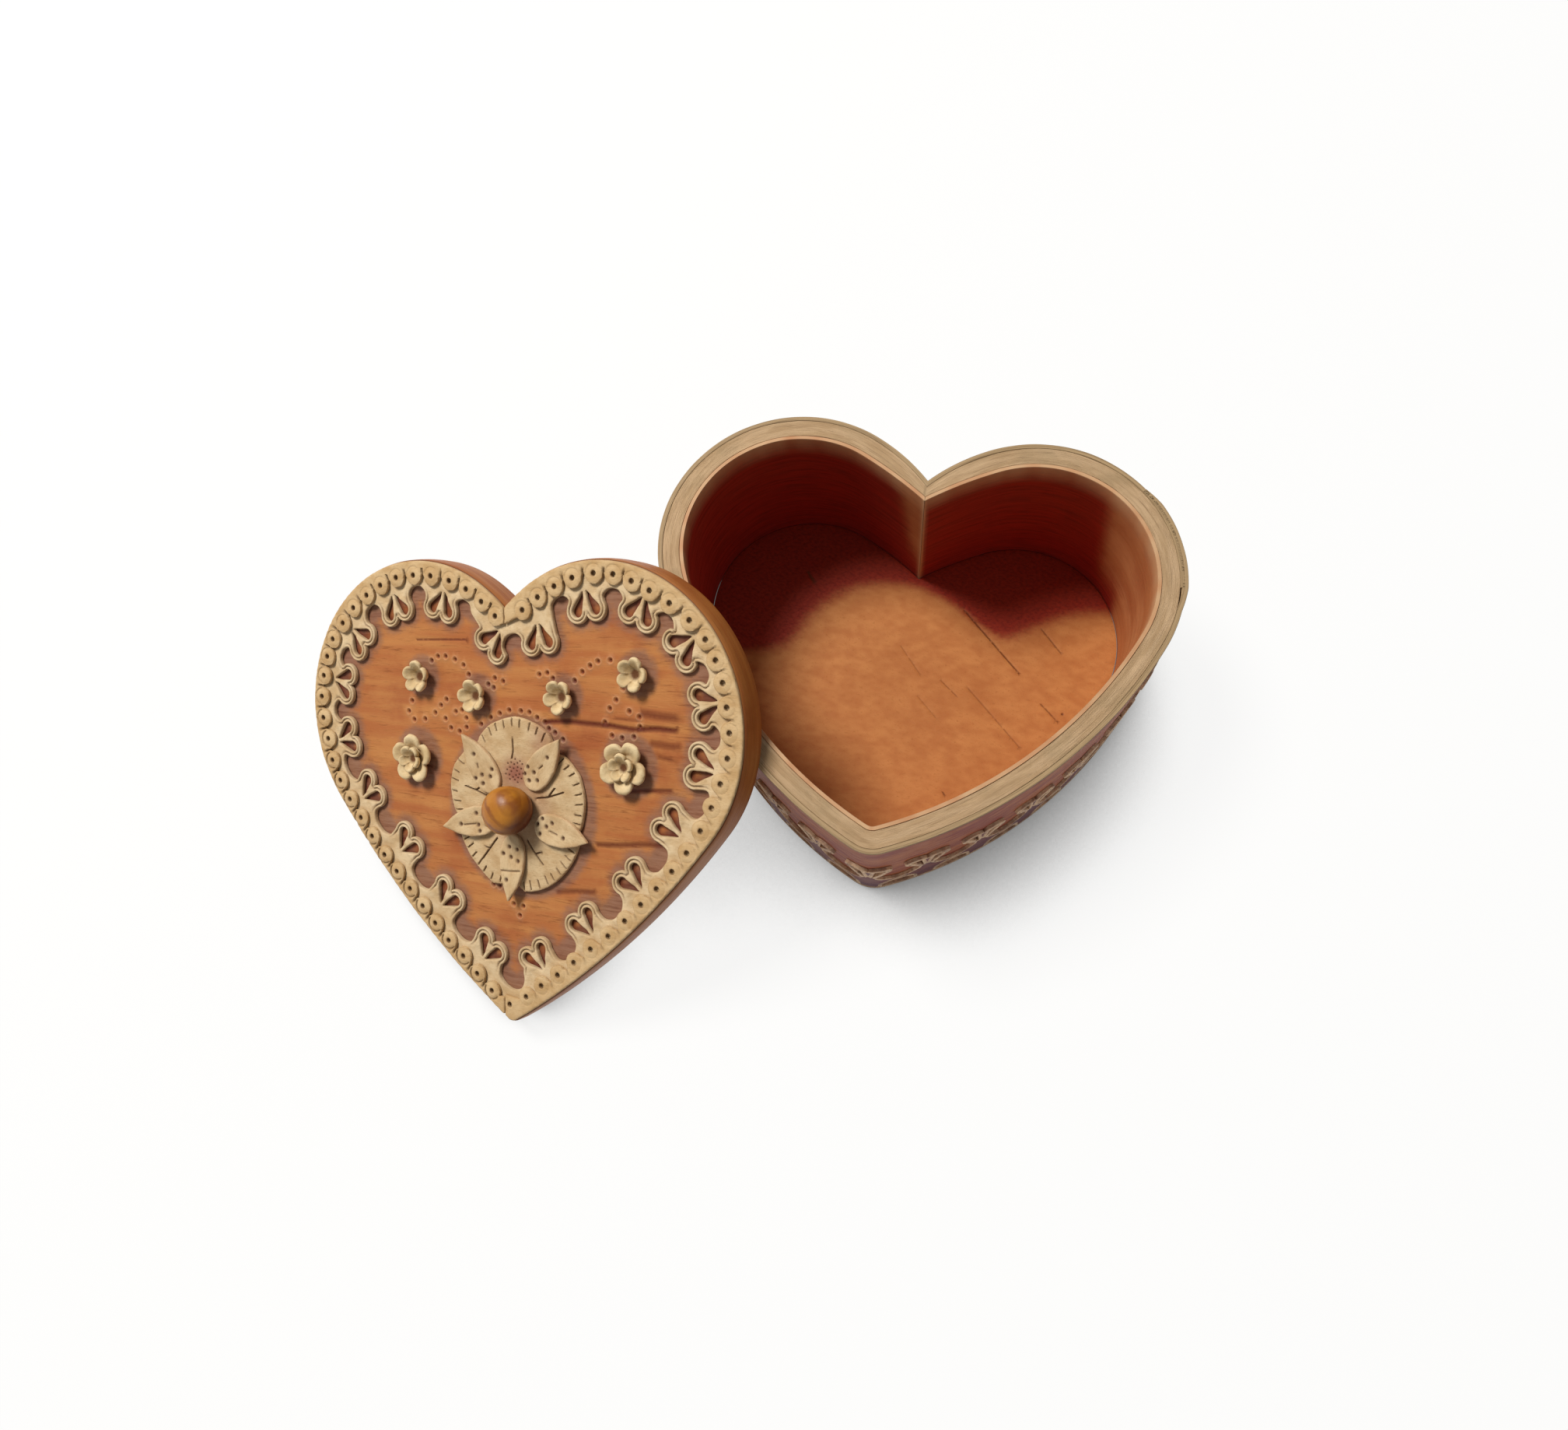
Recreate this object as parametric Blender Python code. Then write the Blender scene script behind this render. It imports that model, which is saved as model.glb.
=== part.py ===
# A heart-shaped birch bark box with its cap lid off, leaning on the box's left rim.
# Metres, +Z up. The heart lies along Y with its tip at -Y, and the base is centred on the lobes' line.

import math

import bmesh
import bpy
from mathutils import Matrix, Vector
from mathutils.geometry import delaunay_2d_cdt, intersect_line_line_2d

# Fits
SEAT_GAP = 0.0003          # clearance between glued or resting pieces
PEG_CLEARANCE = 0.0003     # clearance round the knob's peg

# Box outline: per half a notch arc, a lobe arc, a flank arc and a tip arc, all tangent
BOX_HEIGHT = 0.053
LOBE_CENTRE = 0.0297       # from the middle line to the middle of a lobe
LOBE_RADIUS = 0.0353
NOTCH_RADIUS = 0.050
NOTCH_WALL = 0.0058        # the wall's thickness along the middle line, at the notch
NOTCH_ANGLE = math.radians(116)
FLANK_RADIUS = 0.115
FLANK_ANGLE = math.radians(-23)
TIP_RADIUS = 0.009

# Box wall from outside in, and floor from below up
WRAP_THICKNESS = 0.0011
CORE_THICKNESS = 0.0040
LINER_THICKNESS = 0.0009
STRIP_SEAM = 0.0004        # opening left where a strip's two ends meet
LAP_START = 0.0596         # where the wrap's outer end stops, measured round the heart from the notch
LAP_LENGTH = 0.0340        # how far that end lies over the wrap's other end
LAP_RAMP = 0.0060          # the run in which it climbs over
BOARD_THICKNESS = 0.0030
FLOOR_SHEET_THICKNESS = 0.0007

# Cap lid
LID_PLAY = 0.0035          # play between the box's lobes and the lid's band
LID_WALL = 0.0022
LID_LOBE_SHIFT = 0.0004
LID_NOTCH_RADIUS = 0.054
LID_NOTCH_ANGLE = math.radians(122)
LID_FLANK_RADIUS = 0.245
LID_FLANK_ANGLE = math.radians(-38)
LID_TIP_RADIUS = 0.0025
LID_HEIGHT = 0.0085
LID_BOARD_THICKNESS = 0.0015
TOP_SHEET_THICKNESS = 0.0006
LACE_THICKNESS = 0.0009
BORDER_THICKNESS = 0.0008

# How the lid lies: its middle, in shares of both half widths and of the box's reach to its tip,
# the way it climbs and its turn in its own plane
LID_ASIDE_SHARE = 0.7203
LID_FORWARD_SHARE = 0.7209
LID_CLIMB = math.radians(51.19)
LID_TURN = math.radians(3.49)
FLOOR_CLEARANCE = 0.0001
LOWEST_SLOPE = math.radians(5)
STEEPEST_SLOPE = math.radians(70)
LEAN_STEPS = 30

# Carved lace motif on the lid: two pierced lobes on a neck, with an arch to the next motif
LID_MOTIFS = 10            # in each half
FIRST_MOTIF_SHARE = 0.017
LAST_MOTIF_SHARE = 0.9155
MOTIF_NECK_HALF = 0.0026
MOTIF_NECK_DEPTH = 0.0078
MOTIF_LOBE_RADIUS = 0.0031
MOTIF_LOBE_SPREAD = 0.0029
MOTIF_LOBE_DEPTH = 0.0120
ARCH_DEPTH = 0.0064
ARCH_HALF = 0.0018
ARCH_LIFT = 0.0005
NOTCH_ARCH_DEPTH = 0.0055
TIP_ARCH_DEPTH = 0.0105
HOLE_RADIUS = 0.00145
HOLE_POINT_DEPTH = 0.0082
HOLE_POINT_SPREAD = 0.0007
MOTIF_ANGLES = [math.radians(angle) for angle in (215, 170, 125, 80, 35)]
HOLE_ANGLES = [math.radians(angle) for angle in (-45, 25, 95, 165)]

# Scalloped border strips
SCALLOPS = 31              # in each half
FIRST_SCALLOP_SHARE = 0.016
LAST_SCALLOP_SHARE = 0.969
SCALLOP_RADIUS = 0.0025
SCALLOP_DEPTH = 0.0035
SCALLOP_VALLEY_DEPTH = 0.0030
SCALLOP_HOLE_RADIUS = 0.0007
SCALLOP_ANGLES = [math.radians(angle) for angle in (165, 115, 65, 15)]
SCALLOP_HOLE_SIDES = 6

# Carved band round the box, heights from the table
BAND_MOTIFS = 25
BAND_THICKNESS = 0.0008
BAND_END_MARGIN = 0.0020
BAND_LOW = 0.0005
BAND_NECK_HALF = 0.0020
BAND_NECK_HEIGHT = 0.0185
BAND_LOBE_RADIUS = 0.0031
BAND_LOBE_SPREAD = 0.0030
BAND_LOBE_HEIGHT = 0.0280
BAND_ARCH_HEIGHT = 0.0125
BAND_ARCH_HALF = 0.0020
BAND_ARCH_LIFT = 0.0008
BAND_HOLE_RADIUS = 0.0014
BAND_HOLE_POINT_HEIGHT = 0.0195
BAND_HOLE_POINT_SPREAD = 0.0007
WINDOW_HALF = 0.0045
WINDOW_LOW = 0.0022
WINDOW_HIGH = 0.0095
WINDOW_SHARES = [(-1, 0), (1, 0), (0.86, 0.7), (0, 1), (-0.86, 0.7)]

# Bark rosette and knob
ROSETTE_PLACE_SHARES = (0.037, -0.324)
ROSETTE_RADIUS = 0.0228
ROSETTE_THICKNESS = 0.0009
ROSETTE_DIP_SHARE = 0.10
PETAL_FOOT_REACH = 0.0060
PETAL_LENGTH = 0.0186
PETAL_WIDTH = 0.0090
PETAL_THICKNESS = 0.0009
PETAL_CURL = 0.0018
PETAL_STATION_SHARES = [
    (0, 0.45), (0.12, 0.78), (0.3, 0.98), (0.5, 1), (0.72, 0.78), (0.9, 0.36), (1, 0.06)]
PETAL_ANGLES = [math.radians(angle) for angle in (130.6, 52, -13.5, -95.2, 194.5)]
BEAD_RADIUS = 0.0075
BEAD_HEIGHT = 0.0115
BEAD_RING_SHARES = [
    (0.42, 0), (0.68, 0.09), (0.89, 0.26), (1, 0.48), (0.97, 0.66), (0.82, 0.83), (0.55, 0.945), (0.25, 0.99)]
BEAD_SIDES = 16
PEG_RADIUS = 0.0015
PEG_REACH_SHARE = 0.6      # how far the peg reaches up into the bead
PEG_SIDES = 10

# Small and double flowers, placed in shares of the lid's half width
FLOWER_PETALS = 5
FLOWER_DIP_SHARE = 0.30
SMALL_FLOWER_RADIUS = 0.0044
SMALL_FLOWER_HEIGHT = 0.0034
OUTER_FLOWER_RADIUS = 0.0067
OUTER_FLOWER_HEIGHT = 0.0034
OUTER_FLOWER_DISH = 0.0012
INNER_FLOWER_RADIUS = 0.0037
INNER_FLOWER_HEIGHT = 0.0030
FLOWER_SIDES = 20
SMALL_FLOWER_SHARES = {
    "small_flower_1": (-0.432, 0.141),
    "small_flower_2": (-0.155, 0.081),
    "small_flower_3": (0.246, 0.097),
    "small_flower_4": (0.563, 0.191),
}
DOUBLE_FLOWER_SHARES = {
    "double_flower_left": (-0.464, -0.176),
    "double_flower_right": (0.523, -0.134),
}

# Facets of the hearts' arcs
NOTCH_STEPS = 3
LOBE_STEPS = 12
FLANK_STEPS = 6
TIP_STEPS = 3

# Heights in the lid's own frame, whose zero is the top of its border strips
LACE_TOP = -BORDER_THICKNESS - SEAT_GAP
SHEET_TOP = LACE_TOP - LACE_THICKNESS - SEAT_GAP
LID_CORE_TOP = SHEET_TOP - TOP_SHEET_THICKNESS - SEAT_GAP
LID_BOARD_LOW = LID_CORE_TOP - LID_BOARD_THICKNESS
FLOWER_SEAT = SHEET_TOP + SEAT_GAP
BEAD_SEAT = FLOWER_SEAT + ROSETTE_THICKNESS + SEAT_GAP

# How far each face of the box wall stands inside the outline
CORE_OUTER = WRAP_THICKNESS + SEAT_GAP
CORE_INNER = CORE_OUTER + CORE_THICKNESS
LINER_OUTER = CORE_INNER + SEAT_GAP
LINER_INNER = LINER_OUTER + LINER_THICKNESS
FLOOR_EDGE = LINER_INNER + SEAT_GAP

BOX_SHAPE = {
    "lobe_x": LOBE_CENTRE,
    "lobe": LOBE_RADIUS,
    "notch": NOTCH_RADIUS,
    "notch_angle": NOTCH_ANGLE,
    "flank": FLANK_RADIUS,
    "flank_angle": FLANK_ANGLE,
    "tip": TIP_RADIUS,
}
LID_SHAPE = {
    "lobe_x": LOBE_CENTRE - LID_LOBE_SHIFT,
    "lobe": LOBE_RADIUS + LID_PLAY + LID_WALL,
    "notch": LID_NOTCH_RADIUS,
    "notch_angle": LID_NOTCH_ANGLE,
    "flank": LID_FLANK_RADIUS,
    "flank_angle": LID_FLANK_ANGLE,
    "tip": LID_TIP_RADIUS,
}
LID_HALF_WIDTH = LID_SHAPE["lobe_x"] + LID_SHAPE["lobe"]


def clear_scene():
    for obj in list(bpy.data.objects):
        bpy.data.objects.remove(obj, do_unlink=True)


def material(name, colour, roughness):
    made = bpy.data.materials.new(name)
    made.use_nodes = True
    shader = made.node_tree.nodes["Principled BSDF"]
    shader.inputs["Base Color"].default_value = (*colour, 1.0)
    shader.inputs["Roughness"].default_value = roughness
    shader.inputs["Metallic"].default_value = 0.0
    return made


# Heart outlines


def on_circle(angle):
    return Vector((math.cos(angle), math.sin(angle)))


def heart_arcs(shape, offset=0.0):
    # The right half from the notch to the tip, as arcs: centre, radius, first and last angle.
    lobe = Vector((shape["lobe_x"], 0.0))
    notch = lobe - (shape["notch"] - shape["lobe"]) * on_circle(shape["notch_angle"])
    flank = lobe - (shape["flank"] - shape["lobe"]) * on_circle(shape["flank_angle"])
    reach = shape["flank"] - shape["tip"]
    tip = Vector((0.0, flank.y - math.sqrt(reach ** 2 - flank.x ** 2)))
    notch_start = math.acos(-notch.x / (shape["notch"] + offset))
    arcs = [
        (notch, shape["notch"] + offset, notch_start, shape["notch_angle"]),
        (lobe, shape["lobe"] + offset, shape["notch_angle"], shape["flank_angle"]),
    ]
    tip_radius = shape["tip"] + offset
    if tip_radius > 2 * SEAT_GAP:
        tip_angle = math.atan2(tip.y - flank.y, tip.x - flank.x)
        arcs.append((flank, shape["flank"] + offset, shape["flank_angle"], tip_angle))
        arcs.append((tip, tip_radius, tip_angle, -math.pi / 2))
    else:
        tip_angle = -math.acos(-flank.x / (shape["flank"] + offset))
        arcs.append((flank, shape["flank"] + offset, shape["flank_angle"], tip_angle))
    return arcs


def notch_end(shape, offset=0.0):
    centre, radius, first, last = heart_arcs(shape, offset)[0]
    return centre.y + radius * math.sin(first)


def tip_end(shape, offset=0.0):
    centre, radius, first, last = heart_arcs(shape, offset)[-1]
    return centre.y + radius * math.sin(last)


def notch_radius_through(shape, height, offset):
    # The notch arc's radius that brings the moved-out outline to a height on the middle line.
    lobe = Vector((shape["lobe_x"], 0.0))
    way = on_circle(shape["notch_angle"])
    reach = Vector((0.0, height)) - lobe
    run = reach.dot(way)
    rest = offset ** 2 - reach.length_squared + 2 * shape["lobe"] * run - shape["lobe"] ** 2
    return rest / (2 * (run - shape["lobe"] - offset))


def half_length(shape):
    return sum(radius * (first - last) for centre, radius, first, last in heart_arcs(shape))


def right_half(shape, offset=0.0):
    # The outline's points from the notch to just before the tip.
    steps = [NOTCH_STEPS, LOBE_STEPS, FLANK_STEPS, TIP_STEPS]
    points = []
    for (centre, radius, first, last), count in zip(heart_arcs(shape, offset), steps):
        for step in range(count):
            points.append(centre + radius * on_circle(first + (last - first) * step / count))
    points[0].x = 0.0
    return points


def mirrored(points):
    return [Vector((-point.x, point.y)) for point in reversed(points)]


def heart_loop(shape, offset=0.0):
    right = right_half(shape, offset)
    return right + [Vector((0.0, tip_end(shape, offset)))] + mirrored(right[1:])


def heart_stations(shape):
    # Distances round the whole heart at which its outline has a corner.
    steps = [NOTCH_STEPS, LOBE_STEPS, FLANK_STEPS, TIP_STEPS]
    stations = [0.0]
    for (centre, radius, first, last), count in zip(heart_arcs(shape), steps):
        run = radius * (first - last) / count
        for step in range(count):
            stations.append(stations[-1] + run)
    return stations + [2 * stations[-1] - distance for distance in reversed(stations[:-1])]


def heart_point(shape, distance, offset=0.0):
    # A point of the moved-out outline, at a distance round the heart itself, right lobe first.
    length = half_length(shape)
    on_left = distance > length
    left = 2 * length - distance if on_left else distance
    arcs = heart_arcs(shape)
    for index, (centre, radius, first, last) in enumerate(arcs):
        run = radius * (first - last)
        if left <= run or index == len(arcs) - 1:
            break
        left -= run
    share = min(left / run, 1.0)
    centre, radius, first, last = heart_arcs(shape, offset)[index]
    point = centre + radius * on_circle(first + (last - first) * share)
    return Vector((-point.x, point.y)) if on_left else point


def inward(shape, distance, along, depth):
    # A place beside the right half's outline: along the edge, and inward from it.
    before = heart_point(shape, distance - SEAT_GAP)
    onward = (heart_point(shape, distance + SEAT_GAP) - before).normalized()
    normal = Vector((-onward.y, onward.x))
    return heart_point(shape, distance) + along * onward - depth * normal


# Meshes


def lies_within(point, loops):
    # Even-odd test against the edge and the holes together.
    within = False
    for loop in loops:
        for start, end in zip(loop, loop[1:] + loop[:1]):
            if (start.y > point.y) != (end.y > point.y):
                share = (point.y - start.y) / (end.y - start.y)
                if start.x + share * (end.x - start.x) > point.x:
                    within = not within
    return within


def plate(loops, low, high, cuts=()):
    # A flat plate: the first loop is its edge, the others are its holes and the cuts part its faces.
    points = []
    lines = []
    for loop in loops:
        start = len(points)
        points += loop
        lines += [(start + step, start + (step + 1) % len(loop)) for step in range(len(loop))]
    for cut in cuts:
        lines.append((len(points), len(points) + 1))
        points += cut
    flat, edges, triangles = delaunay_2d_cdt(points, lines, [], 0, SEAT_GAP / 100)[:3]
    mesh = bmesh.new()
    below = {}
    above = {}
    sides = set()
    for corners in triangles:
        if not lies_within(sum((flat[corner] for corner in corners), Vector((0.0, 0.0))) / 3, loops):
            continue
        for corner in corners:
            if corner not in above:
                below[corner] = mesh.verts.new((*flat[corner], low))
                above[corner] = mesh.verts.new((*flat[corner], high))
        mesh.faces.new([above[corner] for corner in corners])
        mesh.faces.new([below[corner] for corner in reversed(corners)])
        sides.update(zip(corners, [*corners[1:], corners[0]]))
    for here, there in sorted(sides):
        if (there, here) not in sides:
            mesh.faces.new([below[here], below[there], above[there], above[here]])
    bmesh.ops.recalc_face_normals(mesh, faces=mesh.faces)
    return mesh


def join_rings(mesh, rings):
    for first, second in zip(rings, rings[1:]):
        count = max(len(first), len(second))
        for side in range(count):
            after = (side + 1) % count
            if len(first) == 1:
                mesh.faces.new([first[0], second[side], second[after]])
            elif len(second) == 1:
                mesh.faces.new([first[after], first[side], second[0]])
            else:
                mesh.faces.new([first[after], first[side], second[side], second[after]])
    bmesh.ops.recalc_face_normals(mesh, faces=mesh.faces)


def turned(profile, sides):
    # A turned solid from rings of radius, height and petal dip that start and end on the axis.
    mesh = bmesh.new()
    rings = []
    for radius, height, dip in profile:
        if radius == 0:
            rings.append([mesh.verts.new((0.0, 0.0, height))])
            continue
        ring = []
        for side in range(sides):
            angle = 2 * math.pi * side / sides
            valley = 1 - abs(math.cos(FLOWER_PETALS * angle / 2))
            point = radius * (1 - dip * valley) * on_circle(angle)
            ring.append(mesh.verts.new((point.x, point.y, height)))
        rings.append(ring)
    join_rings(mesh, rings)
    return mesh


def circle(middle, radius, sides):
    return [middle + radius * on_circle(2 * math.pi * side / sides) for side in range(sides)]


def add_piece(name, mesh, finish, parent=None, smooth=False, place=(0.0, 0.0, 0.0), turn=0.0):
    data = bpy.data.meshes.new(name)
    mesh.to_mesh(data)
    mesh.free()
    if smooth:
        data.shade_smooth()
    data.materials.append(finish)
    piece = bpy.data.objects.new(name, data)
    bpy.context.scene.collection.objects.link(piece)
    piece.parent = parent
    piece.location = place
    piece.rotation_euler = (0.0, 0.0, turn)
    return piece


# Carving


def motif_edge(neck_half, neck, lobe_radius, lobe_spread, lobe):
    # The edge of one motif: up its first lobe and down its second.
    first = [(-neck_half, neck)]
    for angle in MOTIF_ANGLES:
        along = -lobe_spread + lobe_radius * math.cos(angle)
        first.append((along, lobe + lobe_radius * math.sin(angle)))
    return first + [(-along, depth) for along, depth in reversed(first)]


def motif_holes(point_spread, point, hole_radius, lobe_spread, lobe):
    # One drop-shaped hole in each lobe, pointing at the neck.
    hole = [(point_spread, point)]
    for angle in HOLE_ANGLES:
        along = lobe_spread + hole_radius * math.cos(angle)
        hole.append((along, lobe + hole_radius * math.sin(angle)))
    return [hole, [(-along, depth) for along, depth in reversed(hole)]]


def even_shares(first, last, count):
    return [first + (last - first) * step / (count - 1) for step in range(count)]


def lace_loops():
    length = half_length(LID_SHAPE)
    places = [share * length for share in even_shares(FIRST_MOTIF_SHARE, LAST_MOTIF_SHARE, LID_MOTIFS)]
    edge = motif_edge(
        MOTIF_NECK_HALF, MOTIF_NECK_DEPTH, MOTIF_LOBE_RADIUS, MOTIF_LOBE_SPREAD, MOTIF_LOBE_DEPTH)
    holes = motif_holes(
        HOLE_POINT_SPREAD, HOLE_POINT_DEPTH, HOLE_RADIUS, MOTIF_LOBE_SPREAD, MOTIF_LOBE_DEPTH)
    arch = [(-ARCH_HALF, ARCH_DEPTH + ARCH_LIFT), (0.0, ARCH_DEPTH), (ARCH_HALF, ARCH_DEPTH + ARCH_LIFT)]
    right = []
    drops = []
    for index, place in enumerate(places):
        right += [inward(LID_SHAPE, place, along, depth) for along, depth in edge]
        drops += [[inward(LID_SHAPE, place, along, depth) for along, depth in hole] for hole in holes]
        if index + 1 < len(places):
            between = (place + places[index + 1]) / 2
            right += [inward(LID_SHAPE, between, along, depth) for along, depth in arch]
    notch = Vector((0.0, notch_end(LID_SHAPE) - NOTCH_ARCH_DEPTH))
    tip = Vector((0.0, tip_end(LID_SHAPE) + TIP_ARCH_DEPTH))
    opening = [notch] + right + [tip] + mirrored(right)
    return [heart_loop(LID_SHAPE), opening] + drops + [mirrored(drop) for drop in drops]


def border_loops():
    # The right strip, which stops short of the middle line by half the seam.
    length = half_length(LID_SHAPE)
    places = [share * length for share in even_shares(FIRST_SCALLOP_SHARE, LAST_SCALLOP_SHARE, SCALLOPS)]
    half_pitch = (places[1] - places[0]) / 2
    outer = right_half(LID_SHAPE) + [Vector((0.0, tip_end(LID_SHAPE)))]
    inner = [Vector((0.0, notch_end(LID_SHAPE, -SCALLOP_VALLEY_DEPTH)))]
    holes = []
    for place in places:
        for angle in SCALLOP_ANGLES:
            depth = SCALLOP_DEPTH + SCALLOP_RADIUS * math.sin(angle)
            inner.append(inward(LID_SHAPE, place, SCALLOP_RADIUS * math.cos(angle), depth))
        inner.append(inward(LID_SHAPE, place + half_pitch, 0.0, SCALLOP_VALLEY_DEPTH))
        middle = inward(LID_SHAPE, place, 0.0, SCALLOP_DEPTH)
        holes.append(circle(middle, SCALLOP_HOLE_RADIUS, SCALLOP_HOLE_SIDES))
    inner.append(Vector((0.0, tip_end(LID_SHAPE, -SCALLOP_VALLEY_DEPTH))))
    edge = outer + inner[::-1]
    for point in edge:
        point.x = max(point.x, STRIP_SEAM / 2)
    return [edge] + holes


def band_loops():
    # The band laid out flat: X runs round the box and Y is the height.
    length = 2 * half_length(BOX_SHAPE)
    pitch = length / BAND_MOTIFS
    edge = motif_edge(
        BAND_NECK_HALF, BAND_NECK_HEIGHT, BAND_LOBE_RADIUS, BAND_LOBE_SPREAD, BAND_LOBE_HEIGHT)
    holes = motif_holes(
        BAND_HOLE_POINT_SPREAD, BAND_HOLE_POINT_HEIGHT, BAND_HOLE_RADIUS, BAND_LOBE_SPREAD, BAND_LOBE_HEIGHT)
    lift = BAND_ARCH_HEIGHT + BAND_ARCH_LIFT
    arch = [(-BAND_ARCH_HALF, lift), (0.0, BAND_ARCH_HEIGHT), (BAND_ARCH_HALF, lift)]
    top = [Vector((BAND_END_MARGIN, BAND_ARCH_HEIGHT))]
    openings = []
    for index in range(BAND_MOTIFS):
        middle = (index + 0.5) * pitch
        top += [Vector((middle + along, height)) for along, height in edge]
        openings += [[Vector((middle + along, height)) for along, height in hole] for hole in holes]
        if index + 1 < BAND_MOTIFS:
            between = middle + pitch / 2
            top += [Vector((between + along, height)) for along, height in arch]
            window = []
            for along, rise in WINDOW_SHARES:
                height = WINDOW_LOW + rise * (WINDOW_HIGH - WINDOW_LOW)
                window.append(Vector((between + along * WINDOW_HALF, height)))
            openings.append(window)
    top.append(Vector((length - BAND_END_MARGIN, BAND_ARCH_HEIGHT)))
    foot = [Vector((length - BAND_END_MARGIN, BAND_LOW)), Vector((BAND_END_MARGIN, BAND_LOW))]
    return [top + foot] + openings


# Box


def lap_stations():
    full = LAP_START + LAP_LENGTH - LAP_RAMP
    return [LAP_START - LAP_RAMP, LAP_START, full, LAP_START + LAP_LENGTH]


def lap_rise(distance):
    # How far the lapping end and the band over it stand out, at full height once they are over.
    before, start, full, end = lap_stations()
    climb = min((distance - before) / LAP_RAMP, (end - distance) / LAP_RAMP, 1.0)
    return max(climb, 0.0) * (WRAP_THICKNESS + SEAT_GAP)


def wrap_loop():
    # One bark strip: its first end lies under, it goes once round, and its last end laps over.
    length = 2 * half_length(BOX_SHAPE)
    before, start, full, end = lap_stations()
    stations = sorted(heart_stations(BOX_SHAPE)[:-1] + [start, full, end])
    under = [(distance, 0.0) for distance in reversed(stations) if distance <= full]
    round_back = [(distance, 0.0) for distance in reversed(stations) if distance > end]
    over = [(distance, lap_rise(distance)) for distance in reversed(stations) if start <= distance <= end]
    route = under + round_back + over
    outer = [heart_point(BOX_SHAPE, distance, rise) for distance, rise in route]
    inner = [heart_point(BOX_SHAPE, distance, rise - WRAP_THICKNESS) for distance, rise in route]
    return outer + inner[::-1]


def liner_loop():
    # One bark strip inside the wall, whose two ends meet at the notch.
    outer = heart_loop(INNER_SHAPE, -LINER_OUTER)
    inner = heart_loop(INNER_SHAPE, -LINER_INNER)
    loop = []
    for points in (outer, inner):
        first = Vector((STRIP_SEAM / 2, points[0].y))
        last = Vector((-STRIP_SEAM / 2, points[0].y))
        strip = [first] + points[1:] + [last]
        loop += strip if points is outer else strip[::-1]
    return loop


def bent_band():
    # The carved plate, parted wherever the wall turns and then laid round it.
    cuts = []
    for distance in heart_stations(BOX_SHAPE)[1:-1] + lap_stations():
        cuts.append([Vector((distance, 0.0)), Vector((distance, BOX_HEIGHT))])
    mesh = plate(band_loops(), 0.0, BAND_THICKNESS, cuts)
    for vert in mesh.verts:
        distance, height, rise = vert.co
        point = heart_point(BOX_SHAPE, distance, lap_rise(distance) + SEAT_GAP + rise)
        vert.co = (point.x, point.y, height)
    bmesh.ops.reverse_faces(mesh, faces=mesh.faces)
    return mesh


def add_box(finishes):
    board_top = BOARD_THICKNESS
    sheet_low = board_top + SEAT_GAP
    floor_edge = heart_loop(INNER_SHAPE, -FLOOR_EDGE)
    core = [heart_loop(BOX_SHAPE, -CORE_OUTER), heart_loop(INNER_SHAPE, -CORE_INNER)]
    add_piece("wall_core", plate(core, 0.0, BOX_HEIGHT), finishes["edge"])
    add_piece("outer_wrap", plate([wrap_loop()], 0.0, BOX_HEIGHT), finishes["bark"])
    add_piece("inner_liner", plate([liner_loop()], 0.0, BOX_HEIGHT), finishes["bark"])
    add_piece("bottom_board", plate([floor_edge], 0.0, board_top), finishes["edge"])
    sheet = plate([floor_edge], sheet_low, sheet_low + FLOOR_SHEET_THICKNESS)
    add_piece("floor_liner", sheet, finishes["bark"])
    add_piece("carved_band", bent_band(), finishes["lace"])


# Lid


def lid_matrix(slope):
    # The lid climbs along one way, and its lowest point lies on the table.
    uphill = Vector((math.cos(LID_CLIMB), math.sin(LID_CLIMB), 0.0))
    axis = Vector((uphill.y, -uphill.x, 0.0))
    tilt = Matrix.Rotation(slope, 4, axis) @ Matrix.Rotation(LID_TURN, 4, "Z")
    lowest = min((tilt @ Vector((*point, -LID_HEIGHT))).z for point in heart_loop(LID_SHAPE))
    aside = LID_ASIDE_SHARE * (LOBE_CENTRE + LOBE_RADIUS + LID_HALF_WIDTH)
    forward = LID_FORWARD_SHARE * tip_end(BOX_SHAPE)
    return Matrix.Translation((-aside, forward, FLOOR_CLEARANCE - lowest)) @ tilt


def rim_room(slope):
    # How high the band's lower edge passes over the box's rim, where it crosses the outline.
    pose = lid_matrix(slope)
    rim = heart_loop(BOX_SHAPE)
    heights = []
    for offset in (0.0, -LID_WALL):
        edge = [pose @ Vector((*point, -LID_HEIGHT)) for point in heart_loop(LID_SHAPE, offset)]
        for first, second in zip(edge, edge[1:] + edge[:1]):
            for start, end in zip(rim, rim[1:] + rim[:1]):
                cross = intersect_line_line_2d(first.xy, second.xy, start, end)
                if cross:
                    share = (cross - first.xy).length / (second.xy - first.xy).length
                    heights.append(first.z + share * (second.z - first.z))
    return min(heights) - BOX_HEIGHT if heights else -BOX_HEIGHT


def lean_slope():
    low = LOWEST_SLOPE
    high = STEEPEST_SLOPE
    for step in range(LEAN_STEPS):
        slope = (low + high) / 2
        if rim_room(slope) < SEAT_GAP:
            low = slope
        else:
            high = slope
    return high


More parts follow.
